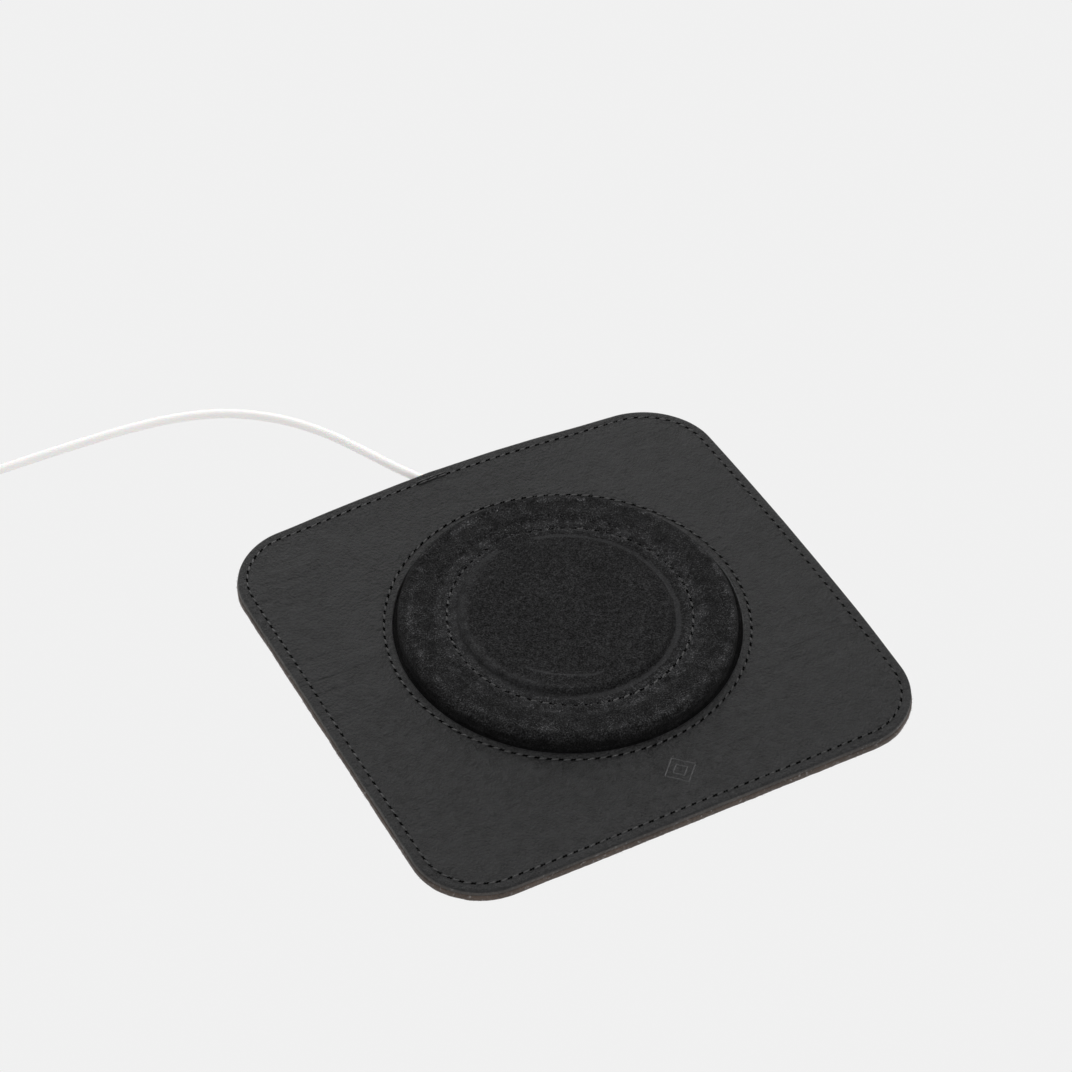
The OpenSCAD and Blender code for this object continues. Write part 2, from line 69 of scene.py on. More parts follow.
def bell(value: float, width: float) -> float:
    """Returns 1 at value 0, falling smoothly to nothing a few widths away."""
    return math.exp(-((value / width) ** 2))


def ripple(x: float, y: float, size: float, seed: float = 0.0) -> float:
    """Returns smooth noise from -1 to 1 with features of about that size."""
    return noise.noise(Vector((x / size, y / size, seed)))


# ---- Node groups ----


class Graph:
    """A node tree with short calls to add nodes and wire them."""

    def __init__(self, tree: bpy.types.NodeTree) -> None:
        """Wraps a tree.

        Args:
            tree: The material's or group's node tree.
        """
        self.tree = tree

    def add(self, kind: str, **values: object) -> bpy.types.Node:
        """Adds a node and sets its properties.

        Args:
            kind: The node's type, without the ShaderNode prefix.
            **values: Node properties by name.

        Returns:
            The new node.
        """
        prefix = "" if kind.startswith("NodeGroup") else "ShaderNode"
        node = self.tree.nodes.new(prefix + kind)
        for name, value in values.items():
            setattr(node, name, value)
        return node

    def feed(self, node: bpy.types.Node, **inputs: object) -> bpy.types.Node:
        """Sets or links a node's inputs by socket name, with _ for a space.

        Args:
            node: The node to feed.
            **inputs: A socket to link, or a plain value to set.

        Returns:
            The same node.
        """
        for name, value in inputs.items():
            key = int(name[1:]) if name[0] == "i" and name[1:].isdigit() else name.replace("_", " ")
            socket = node.inputs[key]
            if isinstance(value, bpy.types.NodeSocket):
                self.tree.links.new(value, socket)
            else:
                socket.default_value = value
        return node

    def math(self, operation: str, a: object, b: object = 0.0) -> bpy.types.NodeSocket:
        """Returns the output of a Math node on two sockets or numbers."""
        node = self.add("Math", operation=operation)
        return self.feed(node, i0=a, i1=b).outputs[0]

    def noise(self, vector: bpy.types.NodeSocket, scale: object, detail: float = 3.0,
              roughness: float = 0.55, distortion: float = 0.0) -> bpy.types.NodeSocket:
        """Returns the value of a noise texture on a vector.

        Args:
            vector: Where to sample it.
            scale: Features a metre.
            detail: Number of octaves.
            roughness: Weight of the finer octaves.
            distortion: How far it is warped.

        Returns:
            The value, about 0 to 1.
        """
        node = self.add("TexNoise")
        self.feed(node, Vector=vector, Scale=scale, Detail=detail, Roughness=roughness,
                  Distortion=distortion)
        return node.outputs["Fac"]

    def spread(self, value: bpy.types.NodeSocket, low: object, high: object,
               to_low: object = 0.0, to_high: object = 1.0) -> bpy.types.NodeSocket:
        """Returns value mapped smoothly from low..high to to_low..to_high.

        Args:
            value: The value to map.
            low: Where the result leaves to_low.
            high: Where it reaches to_high.
            to_low: Result at low.
            to_high: Result at high.

        Returns:
            The mapped value.
        """
        node = self.add("MapRange", interpolation_type="SMOOTHSTEP")
        self.feed(node, Value=value, i1=low, i2=high, i3=to_low, i4=to_high)
        return node.outputs[0]

    def mix(self, factor: object, a: object, b: object) -> bpy.types.NodeSocket:
        """Returns the mix of two colours.

        Args:
            factor: Share of b.
            a: One colour.
            b: The other colour.

        Returns:
            The mixed colour.
        """
        node = self.add("Mix", data_type="RGBA")
        self.feed(node, i0=factor, i6=a, i7=b)
        return node.outputs[2]


def new_group(
    name: str, inputs: dict[str, tuple[str, object]], outputs: dict[str, str],
) -> tuple[bpy.types.NodeTree, Graph, bpy.types.Node, bpy.types.Node]:
    """Starts a shader node group.

    Args:
        name: The group's name.
        inputs: Each input's kind (Vector, Float or Color) and its default.
        outputs: Each output's kind.

    Returns:
        The group, its graph, and its input and output nodes.
    """
    tree = bpy.data.node_groups.new(name, "ShaderNodeTree")
    for key, (kind, default) in inputs.items():
        socket = tree.interface.new_socket(key, in_out="INPUT", socket_type="NodeSocket" + kind)
        if default is not None:
            socket.default_value = default
    for key, kind in outputs.items():
        tree.interface.new_socket(key, in_out="OUTPUT", socket_type="NodeSocket" + kind)
    graph = Graph(tree)
    return tree, graph, graph.add("NodeGroupInput"), graph.add("NodeGroupOutput")


class Effects:
    """The shared surface effects, each built once as a node group."""

    def __init__(self) -> None:
        """Builds every group."""
        self.mottle = self.make_mottle()
        self.grain = self.make_grain()
        self.nap = self.make_nap()
        self.creases = self.make_creases()

    @staticmethod
    def make_mottle() -> bpy.types.NodeTree:
        """Returns the group that shifts a colour in soft patches and fine specks.

        Returns:
            The node group.
        """
        tree, g, i, o = new_group(
            "mottle",
            {"Vector": ("Vector", None), "Colour": ("Color", (0.5, 0.5, 0.5, 1)),
             "Patch Scale": ("Float", 60.0), "Speck Scale": ("Float", 1500.0),
             "Amount": ("Float", 0.2)},
            {"Colour": "Color", "Mask": "Float"})
        patch = g.noise(i.outputs["Vector"], i.outputs["Patch Scale"], 4)
        speck = g.noise(i.outputs["Vector"], i.outputs["Speck Scale"], 2)
        both = g.math("ADD", g.math("MULTIPLY", patch, 0.5), g.math("MULTIPLY", speck, 0.5))
        mask = g.spread(both, 0.36, 0.64)
        gain = g.math("ADD", 1.0, g.math("MULTIPLY", g.math("SUBTRACT", mask, 0.5), i.outputs["Amount"]))
        scaled = g.add("VectorMath", operation="SCALE")
        g.feed(scaled, Vector=i.outputs["Colour"], Scale=gain)
        g.feed(o, Colour=scaled.outputs[0], Mask=mask)
        return tree

    @staticmethod
    def make_grain() -> bpy.types.NodeTree:
        """Returns the group with the pebbled height of finished leather or moulded plastic.

        Returns:
            The node group.
        """
        tree, g, i, o = new_group(
            "grain", {"Vector": ("Vector", None), "Scale": ("Float", 900.0)},
            {"Height": "Float"})
        cells = g.add("TexVoronoi", feature="SMOOTH_F1")
        g.feed(cells, Vector=i.outputs["Vector"], Scale=i.outputs["Scale"])
        fine = g.noise(i.outputs["Vector"], g.math("MULTIPLY", i.outputs["Scale"], 2.3), 4, 0.6)
        broad = g.noise(i.outputs["Vector"], g.math("MULTIPLY", i.outputs["Scale"], 0.12), 3)
        height = g.math("ADD", g.math("MULTIPLY", cells.outputs["Distance"], 0.5),
                        g.math("ADD", g.math("MULTIPLY", fine, 0.5), g.math("MULTIPLY", broad, 0.9)))
        g.feed(o, Height=height)
        return tree

    @staticmethod
    def make_nap() -> bpy.types.NodeTree:
        """Returns the group with the fibres of suede, felt and thread: height, tufts and fuzz.

        Returns:
            The node group.
        """
        tree, g, i, o = new_group(
            "nap", {"Vector": ("Vector", None), "Scale": ("Float", 1400.0)},
            {"Height": "Float", "Tufts": "Float", "Fuzz": "Float"})
        strand = g.noise(i.outputs["Vector"], i.outputs["Scale"], 2, 0.6, 0.3)
        clump = g.noise(i.outputs["Vector"], g.math("MULTIPLY", i.outputs["Scale"], 0.28), 5, 0.7)
        swept = g.noise(i.outputs["Vector"], g.math("MULTIPLY", i.outputs["Scale"], 0.04), 4, 0.6)
        height = g.math("ADD", g.math("MULTIPLY", strand, 0.6), g.math("MULTIPLY", clump, 0.5))
        fine = g.math("ADD", g.math("MULTIPLY", g.spread(strand, 0.38, 0.6), 0.78),
                      g.math("MULTIPLY", g.spread(clump, 0.36, 0.64), 0.22))
        tufts = g.math("MULTIPLY", fine, g.spread(swept, 0.3, 0.7, 0.78, 1.0))
        fuzz = g.math("MULTIPLY", g.spread(strand, 0.57, 0.67), g.spread(clump, 0.38, 0.6))
        g.feed(o, Height=height, Tufts=tufts, Fuzz=fuzz)
        return tree

    @staticmethod
    def make_creases() -> bpy.types.NodeTree:
        """Returns the group with the long soft creases of bent leather.

        Returns:
            The node group.
        """
        tree, g, i, o = new_group(
            "creases", {"Vector": ("Vector", None), "Scale": ("Float", 30.0), "Turn": ("Vector", None)},
            {"Height": "Float"})
        turned = g.add("Mapping")
        g.feed(turned, Vector=i.outputs["Vector"], Rotation=i.outputs["Turn"], Scale=(0.16, 1.0, 1.0))
        line = g.noise(turned.outputs[0], i.outputs["Scale"], 5, 0.6, 0.8)
        ridge = g.math("ABSOLUTE", g.math("SUBTRACT", line, 0.5))
        g.feed(o, Height=g.spread(ridge, 0.0, 0.07))
        return tree


# ---- Finishes ----


class Relief(Enum):
    """What covers a surface close up."""

    GRAIN = "grain"
    NAP = "nap"


@dataclass(frozen=True)
class Finish:
    """A finish of one colour, with patches, specks and a fine relief.

    Attributes:
        name: The material's name.
        colour: Linear base colour.
        roughness: Roughness of the plain surface.
        metallic: 1 on metals.
        relief: Kind of fine relief.
        relief_scale: Size of the relief, in features a metre.
        relief_depth: Height of the relief in metres.
        amount: How far the colour varies.
        patch_scale: Size of the colour's patches, in features a metre.
        sheen: Soft light at grazing angles, as on cloth.
        coat: Clear coat.
        fuzz: Share of light fibres mixed into the colour; on the black thread they are painted glints.
        scatter: Light that travels under the surface.
        specular: Strength of the plain reflection.
    """

    name: str
    colour: Colour
    roughness: float = 0.5
    metallic: float = 0.0
    relief: Relief = Relief.GRAIN
    relief_scale: float = 900.0
    relief_depth: float = 0.00002
    amount: float = 0.15
    patch_scale: float = 90.0
    sheen: float = 0.0
    coat: float = 0.0
    fuzz: float = 0.0
    scatter: float = 0.0
    specular: float = 0.5

    def start(self) -> tuple[bpy.types.Material, Graph, bpy.types.Node, bpy.types.NodeSocket]:
        """Makes the empty material.

        Returns:
            The material, its graph, its Principled shader and the surface coordinates.
        """
        material = bpy.data.materials.new(self.name)
        material.use_nodes = True
        material.node_tree.nodes.clear()
        g = Graph(material.node_tree)
        shader = g.add("BsdfPrincipled")
        g.feed(g.add("OutputMaterial"), Surface=shader.outputs[0])
        g.feed(shader, Metallic=self.metallic, Sheen_Weight=self.sheen, Sheen_Roughness=0.45,
               Coat_Weight=self.coat, Coat_Roughness=0.25, Subsurface_Weight=self.scatter,
               Subsurface_Scale=0.0015, Specular_IOR_Level=self.specular)
        return material, g, shader, g.add("TexCoord").outputs["Object"]

    def effect(self, g: Graph, group: bpy.types.NodeTree, **inputs: object) -> bpy.types.Node:
        """Returns a node that uses a shared effect with these inputs."""
        return g.feed(g.add("Group", node_tree=group), **inputs)

    def bump(self, g: Graph, height: bpy.types.NodeSocket, depth: float,
             under: bpy.types.NodeSocket | None = None) -> bpy.types.NodeSocket:
        """Returns the normal of a bumped surface.

        Args:
            g: The material's graph.
            height: Height from 0 to 1.
            depth: What a height of 1 measures, in metres.
            under: The normal to build on.

        Returns:
            The new normal.
        """
        node = g.feed(g.add("Bump"), Height=height, Distance=depth, Strength=1.0)
        if under is not None:
            g.feed(node, Normal=under)
        return node.outputs[0]

    def build(self, effects: Effects) -> bpy.types.Material:
        """Builds the material.

        Args:
            effects: The shared node groups.

        Returns:
            The material.
        """
        material, g, shader, at = self.start()
        tone = self.effect(g, effects.mottle, Vector=at, Colour=(*self.colour, 1),
                           Patch_Scale=self.patch_scale, Amount=self.amount)
        colour = tone.outputs["Colour"]
        group = effects.nap if self.relief is Relief.NAP else effects.grain
        surface = self.effect(g, group, Vector=at, Scale=self.relief_scale)
        # Light fibres mixed into the colour; on the black thread these specks are painted glints.
        if self.relief is Relief.NAP and self.fuzz:
            light = tuple(0.25 + 0.5 * c for c in self.colour)
            colour = g.mix(g.math("MULTIPLY", surface.outputs["Fuzz"], self.fuzz), colour, (*light, 1))
        rough = g.spread(tone.outputs["Mask"], 0.0, 1.0, max(0.02, self.roughness - 0.06),
                         min(1.0, self.roughness + 0.06))
        g.feed(shader, Base_Color=colour, Roughness=rough,
               Normal=self.bump(g, surface.outputs["Height"], self.relief_depth))
        return material


@dataclass(frozen=True)
class LeatherFinish(Finish):
    """Finished leather: fine pebbled grain, long creases and a satin sheen.

    Attributes:
        crease_depth: Height of the long creases in metres.
        crease_turn: Turn of the creases about Z, in radians.
    """

    crease_depth: float = 0.00003
    crease_turn: float = 0.6

    def build(self, effects: Effects) -> bpy.types.Material:
        """Builds the leather, with creases under its grain.

        Args:
            effects: The shared node groups.

        Returns:
            The material.
        """
        material, g, shader, at = self.start()
        tone = self.effect(g, effects.mottle, Vector=at, Colour=(*self.colour, 1),
                           Patch_Scale=self.patch_scale, Amount=self.amount)
        creases = self.effect(g, effects.creases, Vector=at, Scale=26.0, Turn=(0, 0, self.crease_turn))
        fine = self.effect(g, effects.creases, Vector=at, Scale=90.0,
                           Turn=(0, 0, self.crease_turn + 0.9))
        grain = self.effect(g, effects.grain, Vector=at, Scale=self.relief_scale)
        where = g.spread(g.noise(at, 14.0, 2), 0.4, 0.62)
        folded = g.mix(where, (1, 1, 1, 1), creases.outputs[0])
        normal = self.bump(g, folded, self.crease_depth)
        normal = self.bump(g, fine.outputs[0], self.crease_depth * 0.35, normal)
        normal = self.bump(g, grain.outputs[0], self.relief_depth, normal)
        rough = g.spread(tone.outputs["Mask"], 0.0, 1.0, self.roughness - 0.05, self.roughness + 0.07)
        g.feed(shader, Base_Color=tone.outputs["Colour"], Roughness=rough, Normal=normal)
        return material


@dataclass(frozen=True)
class SuedeFinish(Finish):
    """Napped suede: swept tufts, fibres that stand up where it was rubbed, and painted light and shade: a
    highlight along the disc's edge and shade on the wall.

    Attributes:
        centre: Middle of the pad, in metres.
        highlight_band: Radii of the thin highlight painted along the disc's edge, in metres.
        rubbed: Radii between which it is rubbed up beside the seam, in metres.
        outside: Radii over which the padded ring's larger patches set in, in metres.
        lip: Radii of the worn lip at the front, in metres.
        arc: Radii of the short pressed arc on the disc, in metres.
        arc_way: Direction of the arc from the middle.
        bridged: Half widths, in metres, over which the groove returns beside the cable.
        wall: Radius where the pad turns down to its wall, past which shade is painted on the wall, in metres.
    """

    centre: tuple[float, float] = (0.0, 0.0)
    highlight_band: tuple[float, float] = (0.0321, 0.0337)
    rubbed: tuple[float, float] = (0.0340, 0.0398)
    outside: tuple[float, float] = (0.036, 0.042)
    lip: tuple[float, float] = (0.0464, 0.0478)
    arc: tuple[float, float] = (0.0259, 0.0267)
    arc_way: tuple[float, float, float] = (-0.53, -0.848, 0.0)
    bridged: tuple[float, float] = (0.0048, 0.0068)
    wall: float = 0.0493

    def tint(self, gain: float) -> Colour:
        """Returns the suede's colour, gain times as bright."""
        return tuple(c * gain for c in self.colour)

    def band(self, g: Graph, radius: bpy.types.NodeSocket, low: float, high: float,
             soft: float) -> bpy.types.NodeSocket:
        """Returns a mask that is 1 between two radii, with edges that soft wide."""
        return g.math("MULTIPLY", g.spread(radius, low - soft, low + soft),
                      g.spread(radius, high - soft, high + soft, 1.0, 0.0))

    def build(self, effects: Effects) -> bpy.types.Material:
        """Builds the suede, rubbed up along the seam, with a highlight painted along the disc's edge and shade
        painted on its wall.

        Args:
            effects: The shared node groups.

        Returns:
            The material.
        """
        material, g, shader, at = self.start()
        nap = self.effect(g, effects.nap, Vector=at, Scale=self.relief_scale)
        place = g.feed(g.add("Mapping"), Vector=at, Location=(-self.centre[0], -self.centre[1], 0.0))
        parts = g.feed(g.add("SeparateXYZ"), Vector=place.outputs[0])
        x, y = parts.outputs[0], parts.outputs[1]
        radius = g.math("SQRT", g.math("ADD", g.math("MULTIPLY", x, x), g.math("MULTIPLY", y, y)))
        blotch = g.noise(at, 260.0, 4, 0.6)
        drift = g.math("MULTIPLY", g.math("SUBTRACT", blotch, 0.5), 0.0016)
        rough = g.math("ADD", radius, drift)
        inner = g.math("ADD", rough, g.math("MULTIPLY", x, 0.022))
        edge = g.math("SUBTRACT", rough, g.math("MULTIPLY", x, 0.02))
        left = g.spread(x, -0.03, 0.0, 1.0, 0.0)
        # A thin highlight painted along the disc's edge, full on the right and weaker on the left, where a wider
        # blotchy lighter band joins it.
        highlight_band = self.band(g, inner, *self.highlight_band, 0.0003)
        swept = self.band(g, inner, self.highlight_band[0] - 0.003, self.highlight_band[1] + 0.002, 0.0012)
        swept = g.math("MULTIPLY", g.math("MULTIPLY", swept, left),
                       g.spread(blotch, 0.34, 0.6, 0.25, 0.8))
        highlight_band = g.math("MAXIMUM", g.math("MULTIPLY", highlight_band, g.spread(left, 0.0, 1.0, 1.0, 0.4)),
                         swept)
        rubbed = g.math("MULTIPLY", self.band(g, edge, *self.rubbed, 0.0011),
                        g.spread(blotch, 0.36, 0.62))
        gap = g.math("MULTIPLY", g.spread(g.math("ABSOLUTE", x), *self.bridged, 1.0, 0.0),
                     g.spread(y, 0.0, 0.005))
        lip = g.math("MULTIPLY", self.band(g, edge, *self.lip, 0.0005),
                     g.spread(g.noise(at, 130.0, 2), 0.42, 0.62))
        bearing = g.feed(g.add("VectorMath", operation="DOT_PRODUCT"), i0=place.outputs[0],
                         i1=self.arc_way)
        turned = g.math("DIVIDE", bearing.outputs["Value"], radius)
        arc = g.math("MULTIPLY", g.spread(turned, 0.86, 0.94), self.band(g, edge, *self.arc, 0.0004))
        # The painted highlight and the rubbed-up nap, which lighten the colour together.
        worked = g.math("MAXIMUM", g.math("MULTIPLY", highlight_band, 0.95), g.math("MULTIPLY", rubbed, 0.55))
        light = g.math("MAXIMUM", worked,
                       g.math("MAXIMUM", g.math("MULTIPLY", lip, 0.5), g.math("MULTIPLY", arc, 0.95)))
        light = g.math("MULTIPLY", light, g.math("SUBTRACT", 1.0, gap))
        tufts = g.mix(nap.outputs["Tufts"], (*self.tint(0.0), 1), (*self.tint(3.1), 1))
        colour = g.mix(g.math("MULTIPLY", light, 0.6), tufts, (*self.tint(5.0), 1))
        fuzz = g.math("MAXIMUM", g.math("MULTIPLY", rubbed, 0.9), lip)
        outside = g.spread(radius, *self.outside)
        loose = g.math("ADD", g.math("MULTIPLY", fuzz, 0.7), g.math("MULTIPLY", outside, 0.11))
        specks = g.math("MULTIPLY", nap.outputs["Fuzz"], g.math("ADD", 0.15, loose))
        colour = g.mix(specks, colour, (*self.tint(17.0), 1))
        uneven = g.spread(blotch, 0.3, 0.7, -0.42, 0.36)
        patches = g.math("ADD", 1.0, g.math("MULTIPLY", outside, uneven))
        # Past the wall's radius the colour is cut to a quarter: painted shade on the wall.
        wall = g.spread(radius, self.wall, self.wall + 0.0008, 1.0, 0.25)
        shade = g.math("MULTIPLY", wall, patches)
        scaled = g.feed(g.add("VectorMath", operation="SCALE"), Vector=colour, Scale=shade)
        g.feed(shader, Base_Color=scaled.outputs[0], Roughness=self.roughness,
               Normal=self.bump(g, nap.outputs["Height"], self.relief_depth))
        return material


class Wardrobe:
    """Every finish of the object, built once."""

    def __init__(self, effects: Effects, centre: tuple[float, float]) -> None:
        """Builds the finishes.

        Args:
            effects: The shared node groups.
            centre: Middle of the pad, in metres.
        """
        nap = Relief.NAP
        finishes = [
            LeatherFinish("leather_black", (0.0085, 0.0085, 0.0088), 0.45, relief_scale=1250.0,
                          relief_depth=0.0010, amount=1.95, patch_scale=380.0, specular=0.43,
                          crease_depth=0.0003),
            # Lighter tooled leather for the pressed mark; the same finish paints a highlight on the opening's
            # rounded rim.
            LeatherFinish("leather_tooled_and_rim_highlight", (0.022, 0.022, 0.023), 0.38, relief_scale=900.0,
                          relief_depth=0.0002, amount=0.5, specular=0.46),
            Finish("leather_raw", (0.07, 0.052, 0.042), 0.95, relief=nap, relief_scale=900.0,
                   relief_depth=0.00025, amount=0.7, fuzz=0.6, sheen=0.2),
            Finish("leather_cut", (0.06, 0.055, 0.052), 0.8, relief=nap, relief_scale=1200.0,
                   relief_depth=0.0001, amount=0.5, fuzz=0.3, sheen=0.1, specular=0.2),
            SuedeFinish("suede_black", (0.0096, 0.0096, 0.0099), 0.95, relief=nap, specular=0.12,
                        relief_scale=2300.0, relief_depth=0.0008, sheen=0.02, centre=centre),
            # Light grey loose fibres on the suede: partly real fuzz, partly painted glints along the seam.
            Finish("suede_fibre", (0.15, 0.15, 0.155), 0.9, specular=0.2, amount=0.8),
            Finish("felt_grey", (0.12, 0.12, 0.12), 0.95, relief=nap, relief_depth=0.0001,
                   relief_scale=1100.0, fuzz=0.2, sheen=0.2),
            # Its fuzz mixes in light specks: painted glints on the thread.
            Finish("thread_black", (0.012, 0.012, 0.012), 0.45, relief=nap, relief_scale=2600.0,
                   relief_depth=0.0001, amount=0.6, specular=0.5, fuzz=0.4),
            # Black, with no reflection: painted shade in the stitch holes.
            Finish("stitch_hole_shade", (0.001, 0.001, 0.001), 1.0, relief=nap, amount=0.2, specular=0.0),
            Finish("tape", (0.8, 0.8, 0.76), 0.6, relief_depth=0.00001),
            Finish("aluminium", (0.78, 0.79, 0.8), 0.32, 1.0, relief_depth=0.000004, amount=0.05),
            Finish("plastic_white", (0.82, 0.81, 0.78), 0.3, relief_depth=0.000001, amount=0.03,
                   coat=0.2),
            Finish("plastic_frame", (0.55, 0.55, 0.53), 0.55, amount=0.06, relief_depth=0.00001),
            Finish("steel", (0.6, 0.6, 0.6), 0.3, 1.0, amount=0.15, relief_depth=0.000006),
            Finish("magnet", (0.66, 0.66, 0.67), 0.12, 1.0, amount=0.05, relief_depth=0.000003),
            Finish("copper", (0.72, 0.35, 0.18), 0.25, 1.0, amount=0.2, relief_depth=0.000005),
            Finish("ferrite", (0.05, 0.05, 0.055), 0.6, amount=0.25, relief_depth=0.00002),
            Finish("board_green", (0.02, 0.16, 0.07), 0.3, coat=0.5, amount=0.15),
            Finish("component_black", (0.02, 0.02, 0.02), 0.5, amount=0.2, relief_depth=0.00001),
            Finish("component_grey", (0.2, 0.2, 0.21), 0.6, amount=0.2, relief_depth=0.00002),
            Finish("component_tan", (0.5, 0.38, 0.24), 0.4, amount=0.1, relief_depth=0.000005),
            Finish("wire_red", (0.5, 0.04, 0.03), 0.35, amount=0.05, relief_depth=0.000005),
            Finish("cable_white", (0.93, 0.92, 0.905), 0.42, amount=0.03, patch_scale=40.0,
                   relief_scale=2500.0, relief_depth=0.000008, scatter=0.15),
            Finish("strap_black", (0.018, 0.018, 0.018), 0.9, relief=nap, relief_depth=0.0002,
                   fuzz=0.25, sheen=0.3),
            Finish("plug_metal", (0.7, 0.7, 0.71), 0.2, 1.0, amount=0.06, relief_depth=0.000003),
            Finish("gold", (0.83, 0.62, 0.22), 0.2, 1.0, amount=0.05, relief_depth=0.000002),
        ]
        self.materials = {f.name: f.build(effects) for f in finishes}

    def __getitem__(self, name: str) -> bpy.types.Material:
        """Returns the material of that name."""
        return self.materials[name]


# ---- Making pieces ----


@dataclass
class Workshop:
    """Turns a bmesh into a finished piece that rides with the object.

    Attributes:
        wardrobe: The finishes to choose from.
    """

    wardrobe: Wardrobe

    def piece(self, name: str, bm: bmesh.types.BMesh, finishes: list[str], nodes: list[str]) -> bpy.types.Object:
        """Finishes a piece.

        Args:
            name: The piece's name.
            bm: Its mesh in millimetres, which is used up.
            finishes: Its finishes, in the order of the faces' material numbers.
            nodes: The CAD nodes that it stands for.

        Returns:
            The piece.
        """
        bmesh.ops.scale(bm, vec=(MM, MM, MM), verts=bm.verts)
        mesh = bpy.data.meshes.new(name)
        bm.to_mesh(mesh)
        bm.free()
        mesh.shade_smooth()
        mesh.set_sharp_from_angle(angle=math.radians(50))
        for finish in finishes:
            mesh.materials.append(self.wardrobe[finish])
        return self.own(bpy.data.objects.new(name, mesh), nodes)

    def own(self, obj: bpy.types.Object, nodes: list[str]) -> bpy.types.Object:
        """Links a piece, lets it ride with the object and says what it stands for.

        Args:
            obj: The piece.
            nodes: The CAD nodes that it stands for.

        Returns:
            The same piece.
        """
        bpy.context.scene.collection.objects.link(obj)
        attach(obj, "root")
        if nodes:
            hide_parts(*nodes)
        LOG.info("%s: %d faces, in place of %s", obj.name,
                 len(obj.data.polygons) if obj.type == "MESH" else 0, nodes or "nothing")
        return obj

    def dress(self, node: str, finish: str) -> None:
        """Gives a CAD node its finish.

        Args:
            node: The node's name.
            finish: The finish's name.
        """
        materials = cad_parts[node].data.materials
        materials.clear()
        materials.append(self.wardrobe[finish])
        LOG.info("%s keeps its CAD shape, in %s", node, finish)


class Stamp:
    """A small shape that is pressed into a mesh many times."""

    def __init__(self, bm: bmesh.types.BMesh) -> None:
        """Keeps the shape.

        Args:
            bm: The shape, which is used up.
        """
        self.mesh = bpy.data.meshes.new("stamp")
        bm.to_mesh(self.mesh)
        bm.free()

    def press(self, bm: bmesh.types.BMesh, place: Matrix) -> None:
        """Adds the shape to a mesh at a place.

        Args:
            bm: The mesh to add it to.
            place: Where the shape goes.
        """
        copy = self.mesh.copy()
        copy.transform(place)
        bm.from_mesh(copy)
        bpy.data.meshes.remove(copy)

    def drop(self) -> None:
        """Removes the kept shape."""
        bpy.data.meshes.remove(self.mesh)


class Loft:
    """A skin drawn ring by ring, each ring extruded from the one before."""

    def __init__(self, segments: int, centre: tuple[float, float], radius: float, z: float,
                 capped: bool = False) -> None:
        """Starts from a circle.

        Args:
            segments: Points in each ring.
            centre: The middle that angles are taken about, in millimetres.
            radius: The first ring's radius.
            z: The first ring's height.
            capped: Whether the first ring is filled.
        """
        self.bm = bmesh.new()
        self.centre = centre
        made = bmesh.ops.create_circle(self.bm, cap_ends=capped, segments=segments, radius=radius)
        bmesh.ops.translate(self.bm, vec=(*centre, z), verts=made["verts"])
        self.ring = list(self.bm.edges)
        self.first = list(self.ring)

    def step(self, place: Place, material: int = 0) -> list[bmesh.types.BMVert]:
        """Extrudes the last ring and places the new one.

        Args:
            place: Gives a point, in millimetres, for an angle about the centre.
            material: Material number of the new faces.

        Returns:
            The new ring's points.
        """
        made = bmesh.ops.extrude_edge_only(self.bm, edges=self.ring)["geom"]
        points = [v for v in made if isinstance(v, bmesh.types.BMVert)]
        fresh = set(points)
        self.ring = [e for e in made if isinstance(e, bmesh.types.BMEdge) and set(e.verts) <= fresh]
        for face in (f for f in made if isinstance(f, bmesh.types.BMFace)):
            face.material_index = material
        for v in points:
            v.co = place(math.atan2(v.co.y - self.centre[1], v.co.x - self.centre[0]))
        return points

    def join_ends(self, material: int = 0) -> None:
        """Bridges the last ring to the first.

        Args:
            material: Material number of the new faces.
        """
        made = bmesh.ops.bridge_loops(self.bm, edges=self.ring + self.first)
        for face in made["faces"]:
            face.material_index = material

    def cap(self) -> None:
        """Fills the last ring."""
        bmesh.ops.contextual_create(self.bm, geom=self.ring)

    def close(self) -> bmesh.types.BMesh:
        """Points every face outwards and returns the mesh."""
        bmesh.ops.recalc_face_normals(self.bm, faces=self.bm.faces)
        return self.bm


